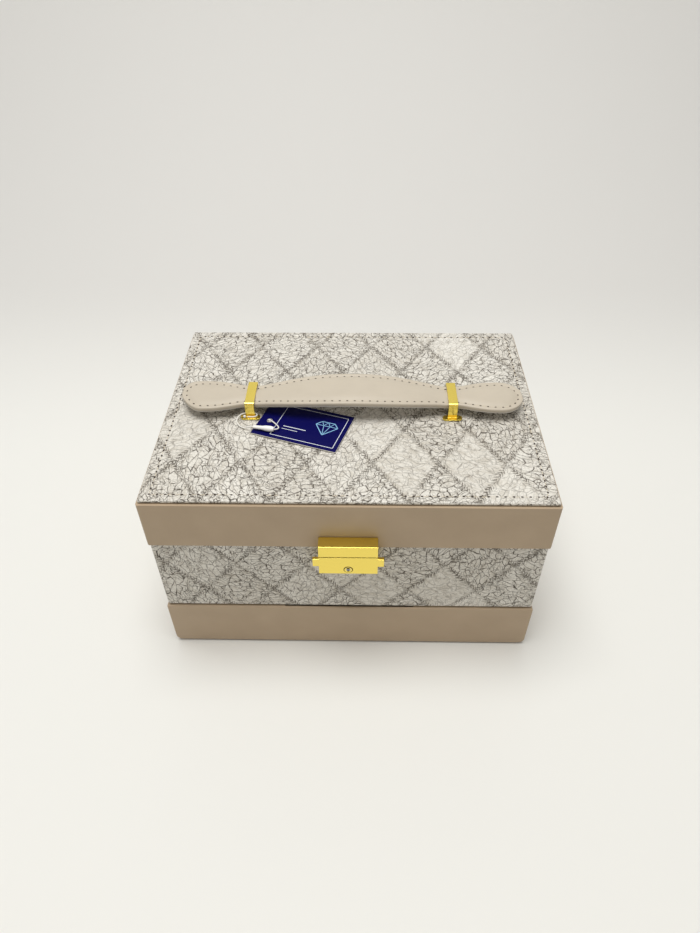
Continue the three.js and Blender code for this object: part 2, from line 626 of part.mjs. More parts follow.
function buildDrawer() {
  const r = PLINTH_CORNER_R;
  const face = inFront(roundedRect(span(halfW), plinthZ, [r, r, 1, 1]), [-halfD, frontBack]);
  const groove = block(
    span(NAIL_GROOVE_W / 2),
    [frontBack - NAIL_GROOVE_D, frontBack + 1],
    [plinthZ[1] - NAIL_GROOVE_H, plinthZ[1] + 1],
  );
  add(drawer, "drawer_front", cut(face, groove), smooth);

  const low = plinthZ[0] + BASE_T + 2 * GLUE;
  const rim = floorZ[0] - DRAWER_HEADROOM;
  const x = span(bayX - SLIDE);
  const y = [bodyFront, bayBack - DRAWER_BACK_PLAY];
  add(drawer, "drawer_box", openBox(x, y, [low, rim], DRAWER_WALL, DRAWER_FLOOR), velvet);

  const inX = bayX - SLIDE - DRAWER_WALL - GLUE;
  const inY = [y[0] + DRAWER_WALL + GLUE, y[1] - DRAWER_WALL - GLUE];
  const liningZ = [low + DRAWER_FLOOR + GLUE, low + DRAWER_FLOOR + GLUE + LINING_T];
  add(drawer, "drawer_lining", block(span(inX), inY, liningZ), velvet);
  const dividerZ = [liningZ[1] + GLUE, rim - DIVIDER_DROP];
  for (let i = 1; i <= DRAWER_DIVIDERS; i++) {
    const middle = -inX + (2 * inX * i) / (DRAWER_DIVIDERS + 1);
    const slotX = [middle - DIVIDER_T / 2, middle + DIVIDER_T / 2];
    add(drawer, `drawer_divider_${i}`, block(slotX, inY, dividerZ), velvet);
  }
}

// ---------------------------------------------------------------- tag and its thread

function buildTag() {
  const sheet = roundedRect(span(TAG_W / 2), span(TAG_D / 2), Array(4).fill(0.3));
  sheet.holes.push(new THREE.Path().absarc(...TAG_HOLE, TAG_HOLE_R, 0, 2 * Math.PI, true));
  const tag = add(part, "hang_tag", inPlan(sheet, [0, TAG_T], 6), card, [...tagAt, top + TAG_LIFT]);
  tag.rotation.z = TAG_TURN;

  // The thread starts in the tag's hole, runs through the seal and once round the left loop's front leg.
  // Heights are above the lid; the route lies relative to the middle of that leg.
  const leg = new THREE.Vector3(loopX.left, legY[0] + LOOP_T / 2, top);
  const at = (x, y, z) => new THREE.Vector3(x, y, z).add(leg);
  const route = [
    at(11.2, -4.2, 0.8), at(11.4, -4.4, 1.8), at(12.7, -5.2, 2.3), at(14.8, -7, 2.1), at(16.8, -9.3, 2),
    at(18.2, -11.7, 2.4), at(18.3, -13.9, 2.9), at(16.6, -14.9, 3.1), at(14, -14.5, 3.1), at(10, -13.8, 3.1),
    at(6, -13.1, 3.1), at(3.4, -12.65, 3.1), at(1.2, -12.3, 2.9), at(-0.8, -11.9, 2), at(-2.6, -11.3, 1.1),
    at(-4.6, -10, 0.75), at(-6.4, -8, 0.75), at(-7.7, -5.4, 0.75), at(-7.9, -3, 1.1), at(-6.8, -0.7, 1.9),
    at(-4.8, 1.1, 2.1), at(-2.4, 1.75, 2.1), at(0, 1.8, 2.1), at(2.2, 1.75, 2.1), at(3.6, 1.1, 2.1),
    at(4, -0.1, 2.1), at(3.5, -1.3, 2.1), at(2.2, -1.85, 2.1), at(0.4, -1.9, 2.1), at(-1.6, -1.9, 2.1),
  ];
  const section = new THREE.Shape().absarc(0, 0, THREAD_R, 0, 2 * Math.PI);
  const thread = new THREE.ExtrudeGeometry(section, {
    extrudePath: new THREE.CatmullRomCurve3(route, false, "centripetal"),
    steps: 80, curveSegments: 8, bevelEnabled: false,
  });
  add(lid, "tag_thread", thread, white);
  add(lid, "tag_knot", new THREE.IcosahedronGeometry(KNOT_R, 1), white, at(-3.3, -1.95, 2.4).toArray());

  // Bullet-shaped snap seal, threaded on the straight stretch of the thread.
  const [sealFrom, sealTo] = [at(16, -14.85, 3.1), at(3.6, -12.68, 3.1)];
  const profile = [
    [SEAL_BORE_R, 0], [SEAL_R * 0.75, 0.2], [SEAL_R, 1.6], [SEAL_R, 5],
    [SEAL_R * 0.72, 7.2], [SEAL_R * 0.62, SEAL_L], [SEAL_BORE_R, SEAL_L], [SEAL_BORE_R, 0],
  ].map(([r, l]) => new THREE.Vector2(r, l));
  const seal = add(lid, "tag_seal", new THREE.LatheGeometry(profile, 16), white, sealFrom.toArray());
  const along = sealTo.clone().sub(sealFrom).normalize();
  seal.quaternion.setFromUnitVectors(new THREE.Vector3(0, 1, 0), along);
}

buildPlinth();
buildBand();
buildInnerLip();
buildCompartment();
buildLid();
buildHinges();
buildLock();
buildHandle();
buildTray();
buildDrawer();
buildTag();

export default part;
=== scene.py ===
"""Jewellery chest in crackle and smooth leatherette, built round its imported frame."""

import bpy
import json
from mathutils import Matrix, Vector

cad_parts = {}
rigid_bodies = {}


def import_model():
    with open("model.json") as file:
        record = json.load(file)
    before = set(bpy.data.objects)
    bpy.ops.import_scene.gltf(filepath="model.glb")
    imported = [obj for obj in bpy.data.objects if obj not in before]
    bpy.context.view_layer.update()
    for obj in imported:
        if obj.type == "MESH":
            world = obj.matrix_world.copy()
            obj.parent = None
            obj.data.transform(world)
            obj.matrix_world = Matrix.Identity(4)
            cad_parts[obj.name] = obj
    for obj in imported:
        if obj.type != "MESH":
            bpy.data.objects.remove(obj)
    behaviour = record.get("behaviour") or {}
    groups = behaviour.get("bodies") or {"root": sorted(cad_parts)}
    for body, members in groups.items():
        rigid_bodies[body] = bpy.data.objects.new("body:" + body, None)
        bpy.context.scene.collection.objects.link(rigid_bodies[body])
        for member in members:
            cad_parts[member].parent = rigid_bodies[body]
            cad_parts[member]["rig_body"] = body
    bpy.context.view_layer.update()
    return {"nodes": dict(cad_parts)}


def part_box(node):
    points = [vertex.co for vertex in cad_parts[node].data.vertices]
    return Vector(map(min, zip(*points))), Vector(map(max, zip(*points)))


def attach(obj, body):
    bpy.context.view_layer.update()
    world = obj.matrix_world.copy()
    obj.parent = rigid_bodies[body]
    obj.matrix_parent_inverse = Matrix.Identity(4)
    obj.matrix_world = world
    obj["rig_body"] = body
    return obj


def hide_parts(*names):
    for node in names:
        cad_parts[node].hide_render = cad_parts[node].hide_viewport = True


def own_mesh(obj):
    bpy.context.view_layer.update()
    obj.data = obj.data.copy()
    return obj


bl_info = {
    "name": "Jewellery Chest",
    "version": (1, 0, 0),
    "blender": (4, 5, 0),
    "location": "3D View > Sidebar > Jewellery Chest",
    "description": "Leatherette jewellery chest with a mirrored lid, a tray, a drawer and a push lock",
    "category": "Add Mesh",
}

import json
import math

import bmesh
import bpy
from mathutils import Euler, Matrix, Vector, noise

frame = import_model()

MM = 0.001
SMOOTH_ANGLE = math.radians(38)
SEAM_SPACING_MM = 31.6  # between neighbouring seams, square across
STROKE_PITCH_MM = 2.1  # of the broken strokes beside a seam
SEAM_WANDER = 0.05  # how far a seam strays, as a share of a diamond
SENSOR_MM = 36  # the camera's long side
UP = Vector((0, 0, 1))

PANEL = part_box("lid_top_panel")
TOP = PANEL[1].z
LOOP_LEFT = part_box("handle_loop_left")
LOOP_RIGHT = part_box("handle_loop_right")
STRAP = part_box("handle_strap")
STRAP_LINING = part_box("handle_lining")


# Sizes and colours


class ChestLook(bpy.types.PropertyGroup):
    """Colours of the chest's finishes, as sRGB hex values."""

    crackle_light: bpy.props.StringProperty(
        name="Crackle film", description="Coating between the cracks", default="#e2dfd7"
    )
    crackle_grey: bpy.props.StringProperty(
        name="Crackle shade", description="Greyer patches of the coating", default="#b9b2a5"
    )
    crackle_line: bpy.props.StringProperty(
        name="Crackle lines", description="Dark cloth showing in the cracks", default="#463e33"
    )
    taupe: bpy.props.StringProperty(
        name="Smooth leatherette", description="Lid sides, plinth and drawer front", default="#b49f84"
    )
    strap: bpy.props.StringProperty(
        name="Handle leatherette", description="Padded upper of the strap", default="#c4baa9"
    )
    lining: bpy.props.StringProperty(
        name="Strap lining", description="Pale underside of the strap", default="#e4e0d8"
    )
    velvet: bpy.props.StringProperty(
        name="Velvet", description="Lining of the lid, tray and drawer", default="#c9bba4"
    )
    gold: bpy.props.StringProperty(
        name="Gold plating", description="Lock, loops and hinges", default="#f8e070"
    )
    card: bpy.props.StringProperty(name="Tag card", description="Printed face of the tag", default="#04044c")
    ink: bpy.props.StringProperty(name="Tag ink", description="Ornament on the tag", default="#8fc4e8")


class ChestSizes(bpy.types.PropertyGroup):
    """Sizes that the sewn and covered pieces share, in metres."""

    edge_round: bpy.props.FloatProperty(
        name="Edge rounding", description="Radius of a covered board's edge", default=0.9 * MM, unit="LENGTH"
    )
    velvet_round: bpy.props.FloatProperty(
        name="Velvet rounding", description="Radius of a velvet board's edge", default=0.6 * MM, unit="LENGTH"
    )
    metal_round: bpy.props.FloatProperty(
        name="Metal rounding", description="Radius of a stamped metal edge", default=0.3 * MM, unit="LENGTH"
    )
    lid_diamond: bpy.props.FloatVectorProperty(
        name="Lid diamond", description="Width and depth of the diamonds on the lid",
        default=(38 * MM, 60 * MM), size=2, unit="LENGTH",
    )
    band_diamond: bpy.props.FloatVectorProperty(
        name="Band diamond", description="Width and height of the diamonds round the band",
        default=(41 * MM, 48 * MM), size=2, unit="LENGTH",
    )
    stitch_pitch: bpy.props.FloatProperty(
        name="Stitch pitch", description="From one stitch hole to the next", default=4.5 * MM, unit="LENGTH"
    )
    lid_stitch_inset: bpy.props.FloatProperty(
        name="Lid stitch inset", description="From the panel's edge to its stitches",
        default=6 * MM, unit="LENGTH",
    )
    strap_stitch_inset: bpy.props.FloatProperty(
        name="Strap stitch inset", description="From the strap's edge to its stitches",
        default=3 * MM, unit="LENGTH",
    )
    panel_step: bpy.props.FloatProperty(
        name="Panel step", description="Spacing of a quilted panel's mesh", default=2.5 * MM, unit="LENGTH"
    )


# Material helpers


def linear(hex_colour):
    """An sRGB hex value as a linear RGBA colour."""
    channels = [int(hex_colour[i : i + 2], 16) / 255 for i in (1, 3, 5)]
    return tuple(c / 12.92 if c <= 0.04045 else ((c + 0.055) / 1.055) ** 2.4 for c in channels) + (1.0,)


def add(tree, kind, inputs=(), **settings):
    """Adds one shader node. An input is a value, a socket, or a node that stands for its first output."""
    made = tree.nodes.new("ShaderNode" + kind)
    for name, setting in settings.items():
        setattr(made, name, setting)
    for key, source in dict(inputs).items():
        if isinstance(source, bpy.types.Node):
            source = source.outputs[0]
        if isinstance(source, bpy.types.NodeSocket):
            tree.links.new(source, made.inputs[key])
        else:
            made.inputs[key].default_value = source
    return made


def new_material(name, **sockets):
    """A material with one Principled shader, whose sockets take the given values."""
    material = bpy.data.materials.new(name)
    material.use_nodes = True
    shader = material.node_tree.nodes["Principled BSDF"]
    for key, setting in sockets.items():
        shader.inputs[key.replace("_", " ")].default_value = setting
    return material, material.node_tree, shader


def gate(tree, value, low, high, first=0.0, last=1.0):
    """A smooth step of a value, from first at low to last at high."""
    return add(
        tree, "MapRange",
        {"Value": value, "From Min": low, "From Max": high, "To Min": first, "To Max": last},
        interpolation_type="SMOOTHSTEP",
    )


def math_node(tree, operation, *values, clamp=False):
    """A Math node on sockets and numbers."""
    return add(tree, "Math", dict(enumerate(values)), operation=operation, use_clamp=clamp)


def mottle(tree, place, size_mm, detail=2, **more):
    """Flat noise over coordinates in millimetres, with patches of a given size."""
    inputs = {"Vector": place, "Scale": 1 / size_mm, "Detail": detail, **more}
    return add(tree, "TexNoise", inputs, noise_dimensions="2D")


def solid_noise(tree, size_mm, detail):
    """Noise through the whole object, with patches of a given size."""
    place = add(tree, "TexCoord").outputs["Object"]
    return add(tree, "TexNoise", {"Vector": place, "Scale": 1 / (size_mm * MM), "Detail": detail})


def wander(tree, chance, reach, place):
    """Coordinates moved by up to a reach, along two axes, by a colour from 0 to 1."""
    return add(tree, "VectorMath", {0: chance, 1: (reach, reach, 0), 2: place}, operation="MULTIPLY_ADD")


def shaken(tree, place, size_mm, reach_mm, detail=1):
    """Coordinates in millimetres that wander by up to reach_mm over size_mm."""
    chance = mottle(tree, place, size_mm, detail).outputs["Color"]
    centred = add(tree, "VectorMath", {0: chance, 1: (0.5, 0.5, 0.5)}, operation="SUBTRACT")
    return wander(tree, centred, 2 * reach_mm, place)


def blended(tree, share, first, last):
    """A colour that goes from the first to the last as the share goes from 0 to 1."""
    return add(tree, "Mix", {0: share, 6: first, 7: last}, data_type="RGBA").outputs[2]


def darker(colour, share):
    """A linear colour scaled towards black."""
    return tuple(share * c for c in colour[:3]) + (1.0,)


def vary_roughness(tree, shader, value, low, high):
    """Lets the roughness follow a value from 0 to 1."""
    rough = add(tree, "MapRange", {"Value": value, "To Min": low, "To Max": high})
    tree.links.new(rough.outputs[0], shader.inputs["Roughness"])


def emboss(tree, shader, height, distance_mm, strength, **more):
    """Bends the surface's normals by a height, and returns the node."""
    inputs = {"Height": height, "Distance": distance_mm * MM, "Strength": strength, **more}
    bump = add(tree, "Bump", inputs)
    tree.links.new(bump.outputs[0], shader.inputs["Normal"])
    return bump


def crack_lines(tree, place, cell_mm, line_mm):
    """Lines along the edges of cells, 1 on a line and 0 off it."""
    cells = add(
        tree, "TexVoronoi", {"Vector": place, "Scale": 1 / cell_mm},
        voronoi_dimensions="2D", feature="DISTANCE_TO_EDGE",
    )
    return gate(tree, cells.outputs["Distance"], 0.2 * line_mm / cell_mm, line_mm / cell_mm, 1.0, 0.0)


def crackle_leatherette(look):
    """Polyurethane leatherette with a crackled foil coat, pieced in diamonds.

    The coat is pale and slightly satin; the darker cloth shows through its cracks, which run
    another way in each diamond, and beside the sewn seams the coat breaks into short slanting strokes.
    """
    material, tree, shader = new_material("crackle_leatherette")
    sheet = add(tree, "UVMap", uv_map="sheet_mm")
    lattice = add(tree, "UVMap", uv_map="diamonds")

    # The seams run where either slant coordinate passes a whole number, a little unevenly.
    uneven = mottle(tree, sheet, 6, 3).outputs["Color"]
    axis = add(tree, "SeparateXYZ", {0: wander(tree, uneven, SEAM_WANDER, lattice)})
    rising = math_node(tree, "ADD", axis.outputs[0], axis.outputs[1])
    falling = math_node(tree, "SUBTRACT", axis.outputs[0], axis.outputs[1])
    gaps = []
    for slant in (rising, falling):
        short = math_node(tree, "SUBTRACT", slant, math_node(tree, "ROUND", slant))
        gaps.append(math_node(tree, "MULTIPLY", math_node(tree, "ABSOLUTE", short), SEAM_SPACING_MM))
    seam_gap = math_node(tree, "MINIMUM", *gaps)
    first_nearer = math_node(tree, "LESS_THAN", *gaps)
    along = add(tree, "Mix", {0: first_nearer, 2: rising, 3: falling})
    along_mm = math_node(tree, "MULTIPLY", along.outputs[0], SEAM_SPACING_MM)

    # Beside a seam: strokes that slant away from it on both sides.
    ragged = mottle(tree, sheet, 1.7)
    slanted = math_node(tree, "MULTIPLY_ADD", seam_gap, 0.9, along_mm)
    stepped = math_node(tree, "MULTIPLY_ADD", ragged, 1.9, slanted)
    wave = math_node(tree, "SINE", math_node(tree, "MULTIPLY", stepped, 2 * math.pi / STROKE_PITCH_MM))
    seam_reach = math_node(tree, "MULTIPLY_ADD", ragged, -1.6, seam_gap)
    beside = gate(tree, seam_reach, 0.5, 1.5, 1.0, 0.0)
    worn = mottle(tree, sheet, 9)
    strokes = math_node(tree, "MULTIPLY", gate(tree, wave, 0.1, 0.75), beside)
    stroked = math_node(tree, "MULTIPLY", strokes, gate(tree, worn, 0.3, 0.6, 0.35, 0.9))
    broken = gate(tree, ragged, 0.42, 0.6)
    core = math_node(tree, "MULTIPLY", gate(tree, seam_gap, 0.2, 0.6, 0.8, 0.0), broken)

    # Three chance numbers for each diamond: crack direction, crack density and tone.
    diamond = add(
        tree, "CombineXYZ", {0: math_node(tree, "FLOOR", rising), 1: math_node(tree, "FLOOR", falling)}
    )
    chance = add(tree, "TexWhiteNoise", {"Vector": diamond}, noise_dimensions="3D")
    lots = add(tree, "SeparateColor", {0: chance.outputs["Color"]})
    turn = math_node(tree, "MULTIPLY", lots.outputs[0], math.pi)

    # Three networks of cracks, each drawn out along the diamond's own direction.
    bent = shaken(tree, sheet, 11, 3.6, 1)
    turned = add(tree, "VectorRotate", {"Vector": bent, "Angle": turn}, rotation_type="Z_AXIS")
    drawn = add(tree, "VectorMath", {0: turned, 1: (1.0, 0.42, 1.0)}, operation="MULTIPLY")
    curled = shaken(tree, sheet, 6, 1.7, 1)
    patch = mottle(tree, bent, 8, 3)
    fading = mottle(tree, curled, 2.4)
    faded = gate(tree, fading, 0.34, 0.55, 0.45, 1.0)
    long_cracks = math_node(
        tree, "MULTIPLY", crack_lines(tree, drawn, 3.2, 0.28), gate(tree, patch, 0.3, 0.48, 0.55, 1.0)
    )
    cross_cracks = math_node(
        tree, "MULTIPLY", crack_lines(tree, curled, 4.1, 0.34), gate(tree, patch, 0.62, 0.4, 0.1, 1.0)
    )
    hair_cracks = math_node(
        tree, "MULTIPLY", crack_lines(tree, curled, 1.9, 0.21), gate(tree, worn, 0.38, 0.6, 0.22, 0.7)
    )
    crossing = math_node(tree, "MAXIMUM", cross_cracks, hair_cracks)
    cracks = math_node(tree, "MULTIPLY", math_node(tree, "MAXIMUM", long_cracks, crossing), faded)
    density = gate(tree, lots.outputs[1], 0.1, 0.4, 0.55, 1.0)
    cracked = math_node(tree, "MULTIPLY", cracks, density)
    sewn = math_node(tree, "MAXIMUM", stroked, core)
    dark = math_node(tree, "MAXIMUM", cracked, sewn, clamp=True)

    # Tone: greyer smears, a shift for each diamond, and painted shade beside the sunk seams.
    smear = mottle(tree, drawn, 3, 5, Roughness=0.65)
    own_tone = math_node(tree, "MULTIPLY", lots.outputs[2], 0.28)
    toned = math_node(tree, "MULTIPLY_ADD", gate(tree, smear, 0.4, 0.7), 0.5, own_tone)
    # Painted shade: the coat turns greyer close to each sunk seam.
    toned_and_seam_shaded = math_node(tree, "MULTIPLY_ADD", beside, 0.12, toned, clamp=True)
    coat = blended(tree, toned_and_seam_shaded, linear(look.crackle_light), linear(look.crackle_grey))
    colour = blended(tree, dark, coat, linear(look.crackle_line))
    tree.links.new(colour, shader.inputs["Base Color"])
    vary_roughness(tree, shader, dark, 0.42, 0.8)

    # Cracks are sunk, and the coat between them is faintly wrinkled.
    relief = math_node(tree, "MULTIPLY_ADD", dark, -1.0, smear)
    emboss(tree, shader, relief, 0.25, 0.6)
    return material


def smooth_leatherette(name, hex_colour, roughness, grain_mm=0.45):
    """Plain polyurethane leatherette: a satin skin with a pebble grain of about half a millimetre."""
    material, tree, shader = new_material(name, Roughness=roughness)
    place = add(tree, "TexCoord").outputs["Object"]
    grain = add(
        tree, "TexVoronoi", {"Vector": place, "Scale": 1 / (grain_mm * MM), "Smoothness": 0.6},
        feature="SMOOTH_F1",
    )
    waves = solid_noise(tree, 18, 3)
    base = linear(hex_colour)
    tree.links.new(blended(tree, waves, base, darker(base, 0.86)), shader.inputs["Base Color"])
    vary_roughness(tree, shader, waves, roughness - 0.06, roughness + 0.1)
    pebbles = emboss(tree, shader, grain.outputs["Distance"], 0.05, 0.5)
    emboss(tree, shader, waves, 0.5, 0.35, Normal=pebbles.outputs[0])
    return material


def gold_plating(look):
    """Polished gold-plated zinc: bright, with faint buffing waves that bend its reflections."""
    material, tree, shader = new_material(
        "gold_plating", Base_Color=linear(look.gold), Metallic=1.0, Roughness=0.14
    )
    buff = solid_noise(tree, 5, 2)
    vary_roughness(tree, shader, buff, 0.1, 0.22)
    emboss(tree, shader, buff, 0.04, 0.2)
    return material


def velvet_pile(look):
    """Short-pile velvet: matt, with a soft sheen at glancing angles and brushed lighter streaks."""
    material, tree, shader = new_material(
        "velvet", Roughness=0.95, Sheen_Weight=0.6, Sheen_Roughness=0.4, Sheen_Tint=(1.0, 0.97, 0.92, 1.0)
    )
    brushed = solid_noise(tree, 22, 3)
    pile = solid_noise(tree, 0.7, 2)
    mixed = math_node(tree, "MULTIPLY_ADD", pile, 0.5, brushed)
    shade = add(tree, "MapRange", {"Value": mixed, "From Min": 0.5, "From Max": 1.0})
    base = linear(look.velvet)
    tree.links.new(blended(tree, shade, darker(base, 0.8), base), shader.inputs["Base Color"])
    emboss(tree, shader, pile, 0.2, 0.5)
    return material


def fibrous(name, hex_colour, fibre_mm, roughness=0.95):
    """Pressed fibres, such as felt or fibreboard: matt and finely mottled."""
    material, tree, shader = new_material(name, Roughness=roughness)
    fibre = solid_noise(tree, fibre_mm, 5)
    base = linear(hex_colour)
    tree.links.new(blended(tree, fibre, darker(base, 0.7), base), shader.inputs["Base Color"])
    emboss(tree, shader, fibre, 0.3, 0.5)
    return material


def thread_strands(name, hex_colour, roughness):
    """Twisted polyester thread: near white, with faint strands across it."""
    material, tree, shader = new_material(name, Base_Color=linear(hex_colour), Roughness=roughness)
    place = add(tree, "TexCoord").outputs["Object"]
    strands = add(
        tree, "TexWave", {"Vector": place, "Scale": 1 / (1.2 * MM), "Distortion": 1.5},
        bands_direction="DIAGONAL",
    )
    emboss(tree, shader, strands, 0.05, 0.4)
    return material


def flat_film(name, hex_colour, roughness, gloss=0.5):
    """An even skin, such as laminate, ink or moulded plastic, with a faint mottle in its gloss."""
    material, tree, shader = new_material(
        name, Base_Color=linear(hex_colour), Roughness=roughness, Specular_IOR_Level=gloss
    )
    vary_roughness(tree, shader, solid_noise(tree, 3, 3), roughness - 0.08, roughness + 0.08)
    return material


def silvered_glass():
    """A silvered mirror: nearly perfect reflection with a faint green cast."""
    return new_material("mirror_glass", Base_Color=linear("#e9f0ec"), Metallic=1.0, Roughness=0.02)[0]


def drawn_steel():
    """Bright drawn spring wire."""
    return new_material("spring_steel", Base_Color=linear("#b4b4b2"), Metallic=1.0, Roughness=0.3)[0]


FINISHES = {}


def make_finishes():
    """Makes every finish once; the operators look them up by name."""
    look = bpy.context.scene.chest_look
    FINISHES.update(
        crackle=crackle_leatherette(look),
        taupe=smooth_leatherette("smooth_leatherette", look.taupe, 0.46),
        strap=smooth_leatherette("handle_leatherette", look.strap, 0.44, 0.35),
        lining=smooth_leatherette("handle_lining", look.lining, 0.55, 0.5),
        gold=gold_plating(look),
        velvet=velvet_pile(look),
        felt=fibrous("felt", "#57514a", 0.5),
        board=fibrous("fibreboard", "#a98f6d", 0.8, 0.85),
        thread=thread_strands("white_thread", "#e6e4de", 0.6),
        seal=flat_film("white_plastic", "#f3f2ee", 0.25),
        card=flat_film("printed_card", look.card, 0.5, 0.08),
        paper=flat_film("card_core", "#efede6", 0.7),
        ink=flat_film("printed_ink", look.ink, 0.35),
        pale_ink=flat_film("printed_pale_ink", "#e8eef4", 0.35),
        hole=flat_film("needle_hole_shadow", "#3a2f26", 0.9),
        sewing=thread_strands("sewing_thread", "#c6bba6", 0.65),
        keyway=flat_film("keyway_shadow", "#140d05", 0.7),
        mirror=silvered_glass(),
        steel=drawn_steel(),
    )


# Mesh helpers


def finish_piece(name, shape, finishes, body, weighted=True):
    """Turns a bmesh into a piece that rides on a body, smooth except at its sharp edges."""
    for face in shape.faces:
        face.smooth = True
    for edge in shape.edges:
        edge.smooth = len(edge.link_faces) == 2 and edge.calc_face_angle(0) < SMOOTH_ANGLE
    mesh = bpy.data.meshes.new(name)
    shape.to_mesh(mesh)
    shape.free()
    for key in finishes:
        mesh.materials.append(FINISHES[key])
    piece = bpy.data.objects.new(name, mesh)
    bpy.context.scene.collection.objects.link(piece)
    if weighted:
        piece.modifiers.new("even_normals", "WEIGHTED_NORMAL").keep_sharp = True
    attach(piece, body)
    return piece


def merged_copy(node):
    """A bmesh of a CAD node with its triangles joined into flat faces."""
    shape = bmesh.new()
    shape.from_mesh(frame["nodes"][node].data)
    bmesh.ops.remove_doubles(shape, verts=shape.verts, dist=1e-6)
    bmesh.ops.dissolve_limit(
        shape, angle_limit=math.radians(1), verts=shape.verts, edges=shape.edges,
        use_dissolve_boundaries=False,
    )
    return shape


def round_edges(shape, radius, segments=3, chosen=lambda edge: True):
    """Bevels the sharp edges of a shape that the test picks."""
    sharp = [
        e for e in shape.edges
        if len(e.link_faces) == 2 and e.calc_face_angle(0) > SMOOTH_ANGLE and chosen(e)
    ]
    bmesh.ops.bevel(
        shape, geom=sharp, offset=radius, offset_type="OFFSET", affect="EDGES", segments=segments,
        profile=0.5, clamp_overlap=True, material=-1,
    )
    return shape


def covered_node(node, finish, radius, segments=3, chosen=lambda edge: True, name=None):
    """Replaces a CAD node by the same board with rounded edges."""
    shape = round_edges(merged_copy(node), radius, segments, chosen)
    body = frame["nodes"][node]["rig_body"]
    piece = finish_piece(name or node + "_covered", shape, [finish], body)
    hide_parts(node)
    return piece


def polished(node, radius, segments=2):
    """Replaces a CAD node by the same part in gold plate."""
    return covered_node(node, "gold", radius, segments, name=node + "_polished")


def box_shape(low, high):
    """A bmesh box between two corners."""
    shape = bmesh.new()
    bmesh.ops.create_cube(shape, size=1)
    size = Vector(high) - Vector(low)
    bmesh.ops.scale(shape, vec=size, verts=shape.verts)
    bmesh.ops.translate(shape, vec=(Vector(low) + Vector(high)) / 2, verts=shape.verts)
    return shape


def slice_up(shape, axis, low, high, step):
    """Cuts a shape by even planes across an axis."""
    count = max(2, round((high - low) / step))
    for i in range(1, count):
        point, normal = Vector(), Vector()
        point[axis] = low + (high - low) * i / count
        normal[axis] = 1
        geometry = shape.verts[:] + shape.edges[:] + shape.faces[:]
        bmesh.ops.bisect_plane(shape, geom=geometry, plane_co=point, plane_no=normal)


def map_sheet(shape, origin, diamond):
    """Lays the pattern on each face from the side that it faces: in millimetres, and in diamonds."""
    sheet = shape.loops.layers.uv.new("sheet_mm")
    lattice = shape.loops.layers.uv.new("diamonds")
    shape.normal_update()
    for face in shape.faces:
        n = face.normal
        across, up = (0, 2)
        if abs(n.z) > max(abs(n.x), abs(n.y)):
            across, up = (0, 1)
        elif abs(n.x) > abs(n.y):
            across, up = (1, 2)
        for loop in face.loops:
            co = loop.vert.co
            u, v = co[across] - origin[across], co[up] - origin[up]
            loop[sheet].uv = (u / MM, v / MM)
            loop[lattice].uv = (u / diamond[0], v / diamond[1])


def turned(section, radius, face_y, inward, steps):
    """A form turned about the Y axis from half its section: (share of the radius, depth in millimetres)."""
    shape = bmesh.new()
    verts = [shape.verts.new((share * radius, face_y + inward * d * MM, 0)) for share, d in section]
    edges = [shape.edges.new(pair) for pair in zip(verts, verts[1:])]
    bmesh.ops.spin(
        shape, geom=verts + edges, cent=(0, 0, 0), axis=(0, 1, 0), angle=2 * math.pi, steps=steps,
        use_merge=True,
    )
    bmesh.ops.remove_doubles(shape, verts=shape.verts, dist=1e-6)
    bmesh.ops.recalc_face_normals(shape, faces=shape.faces)
    return shape


def paint(verts, index):
    """Gives every face round these vertices one of the piece's finishes."""
    for vert in verts:
        for face in vert.link_faces:
            face.material_index = index


def seam_distance(u, v, diamond):
    """How far a point of the pattern, in metres, lies from the nearest diamond seam."""
    slants = (u / diamond[0] + v / diamond[1], u / diamond[0] - v / diamond[1])
    return min(abs(a - round(a)) for a in slants) * SEAM_SPACING_MM * MM


def stitches(name, path, body, hole_r):
    """A row of stitches on a level face: a dark lens of painted shadow at each needle hole and a sunk thread
    for each step of the path.
    """
    hole_lift, hole_depth = 0.1 * MM, 0.2 * MM
    thread_sink, thread_w, thread_t = 0.12 * MM, 0.3 * MM, 0.26 * MM
    shape = bmesh.new()
    for start, end in zip(path, path[1:]):
        along = (end - start).normalized()
        side = UP.cross(along).normalized()
        basis = Matrix((along, side, along.cross(side))).transposed().to_4x4()
        # Painted shadow: a flat dark lens stands in for the shade inside the needle hole.
        hole = bmesh.ops.create_uvsphere(shape, u_segments=8, v_segments=4, radius=1)
        size = Matrix.Diagonal((hole_r * 1.2, hole_r * 0.8, hole_depth, 1))
        place = Matrix.Translation(start + UP * hole_lift) @ basis @ size
        bmesh.ops.transform(shape, matrix=place, verts=hole["verts"])
        thread = bmesh.ops.create_uvsphere(shape, u_segments=8, v_segments=5, radius=1)
        size = Matrix.Diagonal(((end - start).length / 2 * 0.78, thread_w, thread_t, 1))
        place = Matrix.Translation((start + end) / 2 - UP * thread_sink) @ basis @ size
        bmesh.ops.transform(shape, matrix=place, verts=thread["verts"])
        paint(thread["verts"], 1)
    return finish_piece(name, shape, ["hole", "sewing"], body, weighted=False)


def resampled(points, pitch):
    """Points at an even pitch round a closed line; the last repeats the first."""
    line = points + points[:1]
    lengths = [(b - a).length for a, b in zip(line, line[1:])]
    total = sum(lengths)
    count = round(total / pitch)
    made, segment, passed = [], 0, 0.0
    for i in range(count):
        target = total * i / count
        while segment < len(lengths) - 1 and passed + lengths[segment] < target:
            passed += lengths[segment]
            segment += 1
        share = (target - passed) / max(lengths[segment], 1e-9)
        made.append(line[segment].lerp(line[segment + 1], min(max(share, 0), 1)))
    return made + made[:1]


# Stage


